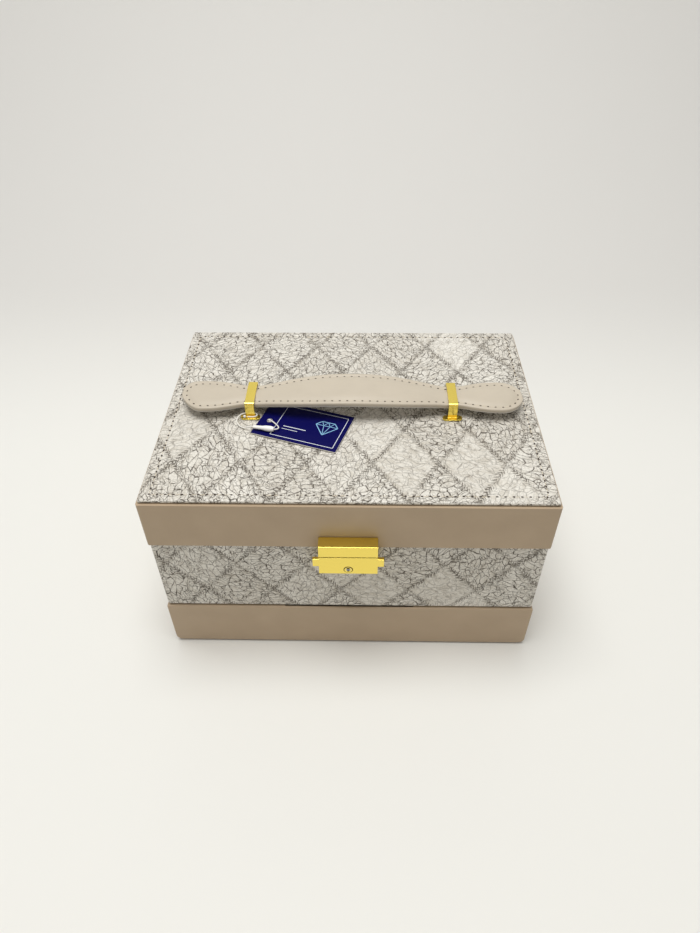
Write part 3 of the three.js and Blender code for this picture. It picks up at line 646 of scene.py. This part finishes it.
class CHEST_OT_stage(bpy.types.Operator):
    """Adds the camera, the soft studio light and the pale swept floor"""

    bl_idname = "chest.stage"
    bl_label = "Stage"

    camera_place = (7.5 * MM, -336.9 * MM, 393.0 * MM)
    pitch, yaw, roll = math.radians(42.93), math.radians(-1.40), math.radians(-0.56)
    lens_mm = 26.153
    sweep_start, sweep_radius, sweep_rise = 0.36, 0.5, 1.2  # where the floor starts to climb, and how far
    sweep_steps = 24
    climb_shade = (0.08, 0.42)  # painted shade: the paper darkens between these distances behind the chest
    room_light = 0.38
    lights = (
        # name, place, size, power, aim, colour
        ("overhead", (-0.12, -0.05, 1.7), 0.9, 23.0, (0, 0, 0), "#fffefc"),
        ("front_fill", (0.1, -1.3, 0.9), 0.9, 1.5, (0, 0, 0.08), "#ffe0bc"),
    )

    def execute(self, context):
        camera = bpy.data.cameras.new("camera")
        camera.lens = self.lens_mm
        camera.sensor_width = SENSOR_MM
        camera.clip_start = 0.01
        holder = bpy.data.objects.new("camera", camera)
        context.scene.collection.objects.link(holder)
        down = Euler((math.pi / 2 - self.pitch, 0, 0)).to_matrix()
        heading = Matrix.Rotation(-self.yaw, 3, "Z")
        tilt = Matrix.Rotation(self.roll, 3, "Z")
        holder.matrix_world = Matrix.Translation(self.camera_place) @ (heading @ down @ tilt).to_4x4()
        context.scene.camera = holder
        context.scene.view_settings.view_transform = "Standard"
        self.add_floor()
        self.add_lights(context.scene)
        return {"FINISHED"}

    def add_floor(self):
        """A floor that sweeps up behind the chest in one wide curve."""
        shape = bmesh.new()
        start, radius, rise = self.sweep_start, self.sweep_radius, self.sweep_rise
        profile = [Vector((0, -3, 0)), Vector((0, -1, 0)), Vector((0, 0, 0))]
        for i in range(self.sweep_steps + 1):
            a = math.pi / 2 * i / self.sweep_steps
            profile.append(Vector((0, start + radius * math.sin(a), radius * (1 - math.cos(a)))))
        profile.append(Vector((0, start + radius, rise)))
        verts = [shape.verts.new(p + Vector((-3, 0, 0))) for p in profile]
        edges = [shape.edges.new(pair) for pair in zip(verts, verts[1:])]
        swept = bmesh.ops.extrude_edge_only(shape, edges=edges)
        moved = [v for v in swept["geom"] if isinstance(v, bmesh.types.BMVert)]
        bmesh.ops.translate(shape, vec=(6, 0, 0), verts=moved)
        bmesh.ops.recalc_face_normals(shape, faces=shape.faces)
        if sum(f.normal.z for f in shape.faces) < 0:
            bmesh.ops.reverse_faces(shape, faces=shape.faces)
        for face in shape.faces:
            face.smooth = True
        mesh = bpy.data.meshes.new("sweep")
        shape.to_mesh(mesh)
        shape.free()
        mesh.materials.append(self.paper())
        sweep = bpy.data.objects.new("sweep", mesh)
        bpy.context.scene.collection.objects.link(sweep)

    def paper(self):
        """Matt white paper, with painted shade: darker where it leaves the table and climbs."""
        material, tree, shader = new_material("sweep_paper", Roughness=0.7)
        place = add(tree, "SeparateXYZ", {0: add(tree, "TexCoord").outputs["Object"]})
        # Painted shade on the climbing paper, standing in for the light that falls off there.
        climb = gate(tree, place.outputs[1], *self.climb_shade)
        tint = blended(tree, climb, linear("#e5e5e1"), linear("#d6d5d2"))
        tree.links.new(tint, shader.inputs["Base Color"])
        return material

    def add_lights(self, scene):
        """A broad overhead panel, a weak warm one in front, and a dim even room."""
        world = bpy.data.worlds.new("room")
        world.use_nodes = True
        background = world.node_tree.nodes["Background"]
        background.inputs[0].default_value = linear("#f4f4f2")
        background.inputs[1].default_value = self.room_light
        scene.world = world
        for name, place, size, power, aim, tint in self.lights:
            light = bpy.data.lights.new(name, "AREA")
            light.shape = "SQUARE"
            light.size = size
            light.energy = power
            light.color = linear(tint)[:3]
            holder = bpy.data.objects.new(name, light)
            holder.location = place
            holder.rotation_euler = (Vector(aim) - Vector(place)).to_track_quat("-Z", "Y").to_euler()
            scene.collection.objects.link(holder)


# Tag and thread


class CHEST_OT_tag(bpy.types.Operator):
    """Adds the hang tag, its printed ornament, and the thread, seal and knot that tie it on"""

    bl_idname = "chest.tag"
    bl_label = "Tag and thread"

    turn = math.radians(-18.7)
    ink_t = 0.03 * MM
    # The printed lines, in the card's own plane, in millimetres from its middle: (points, width, ink).
    lines = (
        (((-15.5, -14.2), (24.2, -14.2), (24.2, 14.2), (-15.5, 14.2), (-15.5, -14.2)), 0.35, 1),
        (((7, 3.5), (10, 7), (18, 7), (21, 3.5), (14, -5), (7, 3.5)), 0.5, 0),
        (((7, 3.5), (21, 3.5)), 0.4, 0),
        (((10, 7), (12, 3.5), (14, -5), (16, 3.5), (18, 7)), 0.35, 0),
        (((12, 3.5), (14, 7), (16, 3.5)), 0.35, 0),
        (((-11, -4.5), (3.5, -4.5)), 0.5, 1),
        (((-11, -7), (-1, -7)), 0.35, 1),
    )
    thread_r = 0.4 * MM
    thread_length = 0.068
    # The thread's route in millimetres, from the middle of the left loop's front leg at the lid's surface.
    route = (
        (11.2, -4.2, 0.8), (11.4, -4.4, 1.8), (12.7, -5.2, 2.3), (14.8, -7, 2.1), (16.8, -9.3, 2),
        (18.2, -11.7, 2.4), (18.3, -13.9, 2.9), (16.6, -14.9, 3.1), (14, -14.5, 3.1), (10, -13.8, 3.1),
        (6, -13.1, 3.1), (3.4, -12.65, 3.1), (1.2, -12.3, 2.9), (-0.8, -11.9, 2), (-2.6, -11.3, 1.1),
        (-4.6, -10, 0.75), (-6.4, -8, 0.75), (-7.7, -5.4, 0.75), (-7.9, -3, 1.1), (-6.8, -0.7, 1.9),
        (-4.8, 1.1, 2.1), (-2.4, 1.75, 2.1), (0, 1.8, 2.1), (2.2, 1.75, 2.1), (3.6, 1.1, 2.1),
        (4, -0.1, 2.1), (3.5, -1.3, 2.1), (2.2, -1.85, 2.1), (0.4, -1.9, 2.1), (-1.6, -1.9, 2.1),
    )

    def execute(self, context):
        seal = self.add_seal()
        knot = covered_node("tag_knot", "thread", 0.1 * MM, 1, name="tag_knot_tied")
        self.add_thread(context, [seal, knot])
        self.add_card()
        return {"FINISHED"}

    def add_thread(self, context, with_pieces):
        """The thread, from under the loop, through the seal and the card, and round the loop's leg."""
        middle = (LOOP_LEFT[0].x + LOOP_LEFT[1].x) / 2
        leg = Vector((middle, LOOP_LEFT[0].y + 2.8 * MM, TOP))
        points = [leg + Vector(p) * MM for p in self.route]
        curve = bpy.data.curves.new("tag_thread_tied", "CURVE")
        curve.dimensions = "3D"
        curve.bevel_depth = self.thread_r
        curve.bevel_resolution = 3
        curve.resolution_u = 6
        curve.use_fill_caps = True
        spline = curve.splines.new("BEZIER")
        spline.bezier_points.add(len(points) - 1)
        for knot, point in zip(spline.bezier_points, points):
            knot.co = point
            knot.handle_left_type = knot.handle_right_type = "AUTO"
        curve.materials.append(FINISHES["thread"])
        thread = bpy.data.objects.new("tag_thread_tied", curve)
        context.scene.collection.objects.link(thread)
        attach(thread, "lid")
        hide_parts("tag_thread")

    def add_seal(self):
        """The moulded snap seal."""
        shape = merged_copy("tag_seal")
        piece = finish_piece("tag_seal_moulded", shape, ["seal"], "lid")
        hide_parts("tag_seal")
        return piece

    def add_card(self):
        """The card, laminated on its face and bare on its back and edges."""
        shape = merged_copy("hang_tag")
        shape.normal_update()
        for face in shape.faces:
            face.material_index = 0 if face.normal.z > 0.5 else 1
        card = finish_piece("hang_tag_card", shape, ["card", "paper"], "hang_tag")
        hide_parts("hang_tag")
        low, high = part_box("hang_tag")
        self.add_print((low + high) / 2, high.z)

    def add_print(self, centre, height):
        """A border and a plain cut-gem outline, printed on the card."""
        shape = bmesh.new()
        for points, width, ink in self.lines:
            for a, b in zip(points, points[1:]):
                a, b = Vector((*a, 0)) * MM, Vector((*b, 0)) * MM
                along = (b - a).normalized()
                side = Vector((-along.y, along.x, 0)) * width * MM / 2
                corners = [a - side, b - side, b + side, a + side]
                face = shape.faces.new([shape.verts.new(c) for c in corners])
                face.material_index = ink
                lifted = bmesh.ops.extrude_face_region(shape, geom=[face])
                raised = [v for v in lifted["geom"] if isinstance(v, bmesh.types.BMVert)]
                bmesh.ops.translate(shape, vec=(0, 0, self.ink_t), verts=raised)
        place = Matrix.Translation((centre.x, centre.y, height + 0.01 * MM))
        place @= Matrix.Rotation(self.turn, 4, "Z")
        bmesh.ops.transform(shape, matrix=place, verts=shape.verts)
        bmesh.ops.recalc_face_normals(shape, faces=shape.faces)
        finish_piece("hang_tag_print", shape, ["ink", "pale_ink"], "hang_tag", weighted=False)


# Covered boards


class CHEST_OT_crackle(bpy.types.Operator):
    """Covers the lid's top and the band in quilted crackle leatherette"""

    bl_idname = "chest.crackle"
    bl_label = "Crackle panels"

    lid_origin = (14.5 * MM, -52 * MM, 0)  # a seam crossing on the lid
    band_origin = (-4 * MM, 0, 57 * MM)  # a seam crossing on the band
    lip_inset = Vector((0.2, 0.8, 0)) * MM  # leaves the lid frame's rounded front lip showing
    back_inset = Vector((0.2, 0.2, 0)) * MM
    seam_depth = 0.3 * MM
    seam_reach = 2.2 * MM
    stitch_depth = 0.25 * MM
    stitch_reach = 2.4 * MM
    wave_depth = 0.12 * MM
    wave_size = 9 * MM
    flat_rim = 4 * MM  # the waves fade out towards the board's edge

    def execute(self, context):
        self.sizes = context.scene.chest_sizes
        band = (self.band_origin, self.sizes.band_diamond, "chest")
        self.panel("lid_top_panel", 2, 1, self.lid_origin, self.sizes.lid_diamond, "lid")
        self.panel("front_panel", 1, -1, *band)
        self.panel("back_panel", 1, 1, *band)
        self.panel("side_panel_left", 0, -1, *band)
        self.panel("side_panel_right", 0, 1, *band)
        self.stitch_lid()
        return {"FINISHED"}

    def panel(self, node, axis, side, origin, diamond, body):
        """A board with rounded edges whose outer face is quilted along the seams."""
        low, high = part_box(node)
        if axis == 2:
            low, high = low + self.lip_inset, high - self.back_inset
        shape = box_shape(low, high)
        round_edges(shape, self.sizes.edge_round, 4)
        across = [a for a in (0, 1, 2) if a != axis]
        margin = self.sizes.edge_round
        for a in across:
            slice_up(shape, a, low[a] + margin, high[a] - margin, self.sizes.panel_step)
        outer = high[axis] if side > 0 else low[axis]
        for vert in shape.verts:
            if abs(vert.co[axis] - outer) > 1e-5:
                continue
            u, v = (vert.co[a] - origin[a] for a in across)
            sink = self.seam_depth * max(0.0, 1 - seam_distance(u, v, diamond) / self.seam_reach) ** 2
            wave = self.wave_depth * noise.noise(vert.co / self.wave_size)
            edge = min(min(vert.co[a] - low[a], high[a] - vert.co[a]) for a in across)
            if axis == 2:
                away = abs(edge - self.sizes.lid_stitch_inset)
                sink += self.stitch_depth * max(0.0, 1 - away / self.stitch_reach)
            fade = min(1.0, edge / self.flat_rim)
            vert.co[axis] -= side * (sink + (wave + self.wave_depth / 2) * fade)
        map_sheet(shape, origin, diamond)
        name, slot = node + "_quilted", "crackle_leatherette"
        piece = finish_piece(name, shape, ["crackle"], body, weighted=False)
        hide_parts(node)

    def stitch_lid(self):
        """The row of stitches round the lid's top panel."""
        low, high = PANEL
        inset = self.sizes.lid_stitch_inset
        z = TOP - 0.3 * MM
        corners = [(low.x + inset, low.y + inset), (high.x - inset, low.y + inset)]
        corners += [(high.x - inset, high.y - inset), (low.x + inset, high.y - inset)]
        points = resampled([Vector((*c, z)) for c in corners], self.sizes.stitch_pitch)
        stitches("lid_stitching", points, "lid", 0.68 * MM)


class CHEST_OT_smooth(bpy.types.Operator):
    """Covers the lid frame, the plinth and the drawer front in smooth leatherette"""

    bl_idname = "chest.smooth"
    bl_label = "Smooth covers"

    lip_round = 1.3 * MM
    drawer_round = 0.7 * MM
    skin = 1.6 * MM  # only the lid frame's edges this near its outside are rounded

    def execute(self, context):
        sizes = context.scene.chest_sizes
        low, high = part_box("lid_frame")

        def on_outside(edge):
            gaps = ((v.co.x - low.x, high.x - v.co.x, v.co.y - low.y, high.y - v.co.y) for v in edge.verts)
            return all(min(gap) < self.skin for gap in gaps)

        covered_node("lid_frame", "taupe", self.lip_round, 4, on_outside)
        for node in ("plinth_left", "plinth_right", "plinth_back"):
            covered_node(node, "taupe", sizes.edge_round, 4)
        covered_node("drawer_front", "taupe", self.drawer_round, 4)
        return {"FINISHED"}


# Handle


class CHEST_OT_handle(bpy.types.Operator):
    """Adds the padded strap, its pale lining and its stitches, and polishes the loops"""

    bl_idname = "chest.handle"
    bl_label = "Handle"

    # Half widths of the strap, at distances from a loop, and half its width in its middle, in millimetres.
    edge = (
        (-43.6, 14.9), (-27.6, 13.2), (-15.6, 11.2), (-7.6, 9.9),
        (0, 9.4), (5.4, 9.8), (13.4, 12), (21.4, 13.7),
    )
    bulb = (29.4, 14.2)
    middle_r = 15.4
    arch = 5.3 * MM
    arch_clear = 4.65 * MM
    lining_t = 1.0 * MM
    upper_low = 1.3 * MM  # from the lining's underside to the upper's
    upper_t = 3.0 * MM
    crown = 0.9 * MM
    tucked_in = 0.9 * MM  # the lining's edge lies this far inside the upper's
    tip_sway = 3.0 * MM  # the left bulb turns back a little
    edge_share = 0.42  # of the upper's thickness, left upright at its edge
    roll_w = 2.2 * MM  # the rolled edge's width
    dip_w = 0.9 * MM  # the trough that the stitches pull into the upper
    dip = 0.4 * MM
    crown_rise = 5 * MM  # from the stitches to where the crown is flat
    wave_size = 14 * MM
    wave_height = 0.1 * MM
    wave_rim = 6 * MM
    under_w = 1.2 * MM  # the underside's edge turns up over this width
    under_share = 0.12
    tip_steps = 24
    rows = 26
    columns = 150

    def execute(self, context):
        self.sizes = context.scene.chest_sizes
        self.centre = (STRAP[0] + STRAP[1]) / 2
        self.half_l = (STRAP[1].x - STRAP[0].x) / 2
        self.loop_at = (LOOP_RIGHT[0].x + LOOP_RIGHT[1].x - LOOP_LEFT[0].x - LOOP_LEFT[1].x) / 4
        self.outline = self.half_widths()
        self.low = STRAP_LINING[0].z
        lining = self.strap(
            "handle_lining_bonded", 0.0, self.lining_t, 0.0, "lining", "handle_lining", self.tucked_in
        )
        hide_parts("handle_lining")
        upper = self.strap(
            "handle_strap_padded", self.upper_low, self.upper_t, self.crown, "strap", "handle_leatherette"
        )
        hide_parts("handle_strap")
        self.add_stitches()
        for node in ("handle_loop_left", "handle_loop_right"):
            polished(node, 0.18 * MM)
        return {"FINISHED"}

    def half_widths(self):
        """Points of half the outline, from the strap's middle to its tip."""
        shoulders = [Vector((self.loop_at + x * MM, y * MM)) for x, y in self.edge + (self.bulb,)]
        points = [Vector((0, self.middle_r * MM))] + shoulders
        padded = [Vector((-points[1].x, points[1].y))] + points + [points[-1]]
        line = []
        for a, b, c, d in zip(padded, padded[1:], padded[2:], padded[3:]):
            for i in range(8):
                t = i / 8
                bend = (2 * a - 5 * b + 4 * c - d) * t * t + (3 * b - a - 3 * c + d) * t * t * t
                line.append((2 * b + (c - a) * t + bend) / 2)
        end = points[-1]
        for i in range(self.tip_steps + 1):
            a = math.pi / 2 * i / self.tip_steps
            narrowed = end.y * math.cos(a) ** 1.12
            line.append(Vector((end.x + (self.half_l - end.x) * math.sin(a), narrowed)))
        return line

    def half_width(self, x):
        """Half the strap's width at a distance from its middle."""
        x = abs(x)
        for a, b in zip(self.outline, self.outline[1:]):
            if x <= b.x:
                share = (x - a.x) / max(b.x - a.x, 1e-9)
                return a.y + (b.y - a.y) * share
        return 0.0

    def underside(self, x):
        """Height of the strap's underside."""
        u = min(abs(x) / (self.loop_at - self.arch_clear), 1)
        return self.low + self.arch * math.cos(math.pi / 2 * u)

    def height(self, inward, thickness, crown):
        """Height above the underside: a rolled edge, a dip at the stitches and a soft crown inside."""
        roll = min(inward / self.roll_w, 1.0)
        share = self.edge_share
        rim = thickness * (share + (1 - share) * math.sqrt(1 - (1 - roll) ** 2))
        if not crown:
            return rim
        past = inward - self.sizes.strap_stitch_inset
        dip = self.dip * math.exp(-((past / self.dip_w) ** 2))
        inside = min(max(past / self.crown_rise, 0), 1)
        return rim - crown * (1 - inside * inside * (3 - 2 * inside)) * roll - dip * roll

    def strap(self, name, lift, thickness, crown, finish, slot, tucked_in=0.0):
        """A closed strap whose outline, arch and section follow the functions above."""
        shape = bmesh.new()
        bmesh.ops.create_grid(shape, x_segments=self.columns, y_segments=self.rows, size=1)
        flat = shape.faces[:]
        raised = bmesh.ops.extrude_face_region(shape, geom=flat)
        top = {v for v in raised["geom"] if isinstance(v, bmesh.types.BMVert)}
        for vert in shape.verts:
            s, t = vert.co.x, vert.co.y
            x = self.half_l * self.spread(s)
            half = self.half_width(x)
            y = half * math.sin(t * math.pi / 2)
            inward = self.inward(x, y, half)
            base = self.underside(x) + lift
            if vert in top:
                z = base + self.height(inward, thickness, crown)
                if crown:
                    wave = noise.noise(Vector((x, y, 0)) / self.wave_size)
                    z += self.wave_height * wave * min(inward / self.wave_rim, 1)
            else:
                z = base + thickness * self.under_share * (1 - min(inward / self.under_w, 1)) ** 2
            narrowed = 1 - tucked_in / max(half, 4 * MM)
            vert.co = Vector((self.centre.x + x, self.centre.y + y * narrowed + self.sway(x), z))
        bmesh.ops.remove_doubles(shape, verts=shape.verts, dist=2e-6)
        bmesh.ops.recalc_face_normals(shape, faces=shape.faces)
        return finish_piece(name, shape, [finish], "handle", weighted=False)

    def spread(self, s):
        """Grid columns, drawn closer together towards the strap's round tips."""
        return math.copysign(1 - (1 - abs(s)) ** 1.5, s) * 0.35 + s * 0.65

    def sway(self, x):
        """How far the strap's middle line leans back, beyond the left bulb's widest place."""
        widest = self.outline[-self.tip_steps - 1].x
        share = min(max((-x - widest) / (self.half_l - widest), 0), 1)
        return self.tip_sway * share * share * (3 - 2 * share)

    def inward(self, x, y, half):
        """Distance from the outline, measured straight across and rounded off at the tips."""
        across = half - abs(y)
        widest = self.outline[-self.tip_steps - 1]
        if abs(x) > widest.x:
            a, b = self.half_l - widest.x, widest.y
            r = math.hypot((abs(x) - widest.x) / a, y / b)
            return max(0.0, 1 - r) * (a + b) / 2
        return across

    def add_stitches(self):
        """Stitches all round the upper, a fixed inset from its edge."""
        inset = self.sizes.strap_stitch_inset
        outline = [Vector((p.x, p.y, 0)) for p in self.outline]
        quarter = []
        for before, after in zip(outline, outline[2:]):
            along = (after - before).normalized()
            quarter.append((before + after) / 2 + Vector((along.y, -along.x, 0)) * inset)
        right = [Vector((0, outline[0].y - inset, 0))] + quarter + [Vector((self.half_l - inset, 0, 0))]
        loop = right + [Vector((p.x, -p.y, 0)) for p in reversed(right[1:-1])]
        loop += [Vector((-p.x, p.y, 0)) for p in reversed(loop[1:-1])]
        points = []
        for p in resampled(loop, self.sizes.stitch_pitch):
            half = self.half_width(p.x)
            rise = self.height(self.inward(p.x, p.y, half), self.upper_t, self.crown)
            z = self.underside(p.x) + self.upper_low + rise
            points.append(Vector((self.centre.x + p.x, self.centre.y + p.y + self.sway(p.x), z)))
        stitches("handle_stitching", points, "handle", 0.58 * MM)


# Metalwork


class CHEST_OT_lock(bpy.types.Operator):
    """Polishes the push lock: case, strike, slider with its ears, key plug, tongue and springs"""

    bl_idname = "chest.lock"
    bl_label = "Lock"

    press = 2.5 * MM  # the slider's travel
    # Half section of the plug, from its axis outwards: (share of the radius, depth in millimetres).
    plug_section = (
        (0, 0.12), (0.5, 0.12), (0.8, 0.05), (0.86, 0.0), (0.97, 0.05), (1.0, 0.2), (1.0, 1.5), (0, 1.5),
    )
    ring = (0.84, 0.99)  # the ring of painted shadow: its inner and outer radius, as shares of the plug's
    face_share = 0.6  # the steel face's radius
    # The keyway's halves, in millimetres from the plug's centre: (half width, lower edge, upper edge).
    keyholes = ((0.85, 0.25, 1.6), (0.62, -1.6, -0.55))
    keyway_front = 0.04 * MM
    keyway_depth = 0.6 * MM

    def execute(self, context):
        radius = context.scene.chest_sizes.metal_round
        for node in ("lock_case", "lock_strike", "lock_slider"):
            polished(node, radius, 3)
        self.add_plug()
        polished("lock_tongue", 0.12 * MM)
        for node in ("lock_spring_left", "lock_spring_right"):
            self.add_spring(node)
        return {"FINISHED"}

    def add_spring(self, node):
        """A coil that stands on the case, under the slider."""
        shape = bmesh.new()
        shape.from_mesh(frame["nodes"][node].data)
        bmesh.ops.remove_doubles(shape, verts=shape.verts, dist=1e-6)
        coil = finish_piece(node + "_coiled", shape, ["steel"], "chest", weighted=False)
        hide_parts(node)
        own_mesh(coil)

    def add_plug(self):
        """The key plug: a turned face inside a ring of painted shadow, with painted shadow filling the
        keyway's two halves.
        """
        low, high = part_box("key_plug")
        centre = (low + high) / 2
        radius = (high.x - low.x) / 2
        face_y = low.y
        shape = turned(self.plug_section, radius, face_y, 1, 40)
        bmesh.ops.translate(shape, vec=(centre.x, 0, centre.z), verts=shape.verts)
        for face in shape.faces:
            middle = face.calc_center_median()
            r = math.hypot(middle.x - centre.x, middle.z - centre.z) / radius
            # Painted shadow: the gap round the plug is coloured dark.
            if self.ring[0] < r < self.ring[1]:
                face.material_index = 1
            elif r < self.face_share and middle.y < face_y + self.keyway_depth:
                face.material_index = 2
        finishes = ["gold", "keyway", "steel"]
        plug = finish_piece("key_plug_turned", shape, finishes, "key_plug", weighted=False)
        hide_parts("key_plug")
        holes = bmesh.new()
        # Painted shadow: dark blocks stand where the keyway's slots are.
        for half_w, z0, z1 in self.keyholes:
            made = bmesh.ops.create_cube(holes, size=1)["verts"]
            size = Vector((2 * half_w * MM, self.keyway_depth - self.keyway_front, (z1 - z0) * MM))
            middle = (self.keyway_depth + self.keyway_front) / 2
            bmesh.ops.scale(holes, vec=size, verts=made)
            place = (centre.x, face_y + middle, centre.z + (z0 + z1) / 2 * MM)
            bmesh.ops.translate(holes, vec=place, verts=made)
        round_edges(holes, 0.12 * MM, 2)
        finish_piece("key_plug_keyway", holes, ["keyway"], "key_plug", weighted=False)


class CHEST_OT_hinges(bpy.types.Operator):
    """Polishes the hinge leaves, pins and screws"""

    bl_idname = "chest.hinges"
    bl_label = "Hinges"

    # Half section of a screw, from its head's middle: (share of the head's radius, depth in millimetres).
    screw_section = (
        (0, 0.0), (0.55, 0.03), (0.85, 0.12), (1.0, 0.3), (1.0, 0.55), (0.47, 0.9), (0.47, 4.2), (0, 4.9),
    )

    def execute(self, context):
        for node in frame["nodes"]:
            if node.startswith("hinge_leaf"):
                polished(node, 0.15 * MM)
            elif node.startswith("hinge_pin"):
                polished(node, 0.2 * MM)
            elif "_screw_" in node:
                self.add_screw(node)
        return {"FINISHED"}

    def add_screw(self, node):
        """A countersunk screw with a cross recess of painted shadow, its head domed and its shank plain."""
        low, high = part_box(node)
        centre = (low + high) / 2
        radius = (high.x - low.x) / 2
        back = high.y
        shape = turned(self.screw_section, radius, back, -1, 20)
        # Painted shadow: the cross recess is two thin dark blocks on the head.
        for long, short in ((0.62, 0.14), (0.14, 0.62)):
            made = bmesh.ops.create_cube(shape, size=1)["verts"]
            bmesh.ops.scale(shape, vec=(2 * long * radius, 0.08 * MM, 2 * short * radius), verts=made)
            bmesh.ops.translate(shape, vec=(0, back - 0.02 * MM, 0), verts=made)
            paint(made, 1)
        bmesh.ops.translate(shape, vec=(centre.x, 0, centre.z), verts=shape.verts)
        body = frame["nodes"][node]["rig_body"]
        piece = finish_piece(node + "_turned", shape, ["gold", "keyway"], body, weighted=False)
        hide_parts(node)


# Interior


class CHEST_OT_interior(bpy.types.Operator):
    """Lines the lid, compartment, tray and drawer in velvet, and adds the mirror and the ring rolls"""

    bl_idname = "chest.interior"
    bl_label = "Interior"

    velvet_boards = (
        "inner_lip", "tray_ledge_left", "tray_ledge_right", "lower_lining", "lower_divider", "lid_lining",
        "tray_box", "tray_divider", "tray_pull_left", "tray_pull_right", "drawer_box", "drawer_lining",
        "drawer_divider_1", "drawer_divider_2",
    )
    rolls = 8

    def execute(self, context):
        sizes = context.scene.chest_sizes
        for node in self.velvet_boards:
            thin = node.startswith("tray_pull")
            covered_node(node, "velvet", 0.25 * MM if thin else sizes.velvet_round, 3)
        self.add_rolls()
        polished("mirror_frame", 0.35 * MM, 3)
        covered_node("mirror", "mirror", 0.3 * MM, 2, name="mirror_bevelled")
        covered_node("base_felt", "felt", 0.3 * MM, 2, name="base_felt_pressed")
        for node in ("base_board", "compartment_floor"):
            covered_node(node, "board", 0.3 * MM, 2)
        return {"FINISHED"}

    def add_rolls(self):
        """Padded ring rolls: bolsters side by side on a base, fuller in the middle of their length."""
        low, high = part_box("ring_cushion")
        pitch = (high.y - low.y) / self.rolls
        gap = 0.35 * MM
        radius = pitch / 2 - gap
        base_z = high.z - radius
        shape = bmesh.new()
        for i in range(self.rolls):
            middle = low.y + (i + 0.5) * pitch
            made = bmesh.ops.create_cone(
                shape, cap_ends=True, segments=32, radius1=radius, radius2=radius, depth=high.x - low.x
            )["verts"]
            bmesh.ops.rotate(shape, cent=(0, 0, 0), matrix=Matrix.Rotation(math.pi / 2, 3, "Y"), verts=made)
            bmesh.ops.translate(shape, vec=((low.x + high.x) / 2, middle, base_z), verts=made)
        slice_up(shape, 0, low.x, high.x, 4 * MM)
        half = (high.x - low.x) / 2
        centre_x = (low.x + high.x) / 2
        for vert in shape.verts:
            inset = half - abs(vert.co.x - centre_x)
            middle = low.y + (math.floor((vert.co.y - low.y) / pitch) + 0.5) * pitch
            shrink = 1 - 0.22 * max(0.0, 1 - inset / (6 * MM)) ** 2
            shrink *= 1 - 0.012 * (1 + noise.noise(vert.co / (8 * MM)))
            vert.co.y = middle + (vert.co.y - middle) * shrink
            vert.co.z = base_z + (vert.co.z - base_z) * shrink
        base = box_shape((low.x, low.y, low.z), (high.x, high.y, low.z + 2.5 * MM))
        mesh = bpy.data.meshes.new("roll_base")
        base.to_mesh(mesh)
        base.free()
        shape.from_mesh(mesh)
        bpy.data.meshes.remove(mesh)
        piece = finish_piece("ring_cushion_padded", shape, ["velvet"], "tray", weighted=False)
        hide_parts("ring_cushion")


# Panel and registration


OPERATORS = (
    CHEST_OT_stage, CHEST_OT_tag, CHEST_OT_crackle, CHEST_OT_smooth, CHEST_OT_handle,
    CHEST_OT_lock, CHEST_OT_hinges, CHEST_OT_interior,
)


class CHEST_PT_panel(bpy.types.Panel):
    """Lists the chest's operators, sizes and colours"""

    bl_idname = "CHEST_PT_panel"
    bl_label = "Jewellery Chest"
    bl_space_type = "VIEW_3D"
    bl_region_type = "UI"
    bl_category = "Jewellery Chest"

    def draw(self, context):
        for operator in OPERATORS:
            self.layout.operator(operator.bl_idname)
        for group in (context.scene.chest_sizes, context.scene.chest_look):
            for name in group.__annotations__:
                self.layout.prop(group, name)


CLASSES = (ChestLook, ChestSizes, *OPERATORS, CHEST_PT_panel)


def register():
    for each in CLASSES:
        bpy.utils.register_class(each)
    bpy.types.Scene.chest_look = bpy.props.PointerProperty(type=ChestLook)
    bpy.types.Scene.chest_sizes = bpy.props.PointerProperty(type=ChestSizes)


def unregister():
    del bpy.types.Scene.chest_sizes
    del bpy.types.Scene.chest_look
    for each in reversed(CLASSES):
        bpy.utils.unregister_class(each)


def main():
    register()
    make_finishes()
    for operator in OPERATORS:
        group, name = operator.bl_idname.split(".")
        getattr(getattr(bpy.ops, group), name)()


if __name__ == "__main__":
    main()
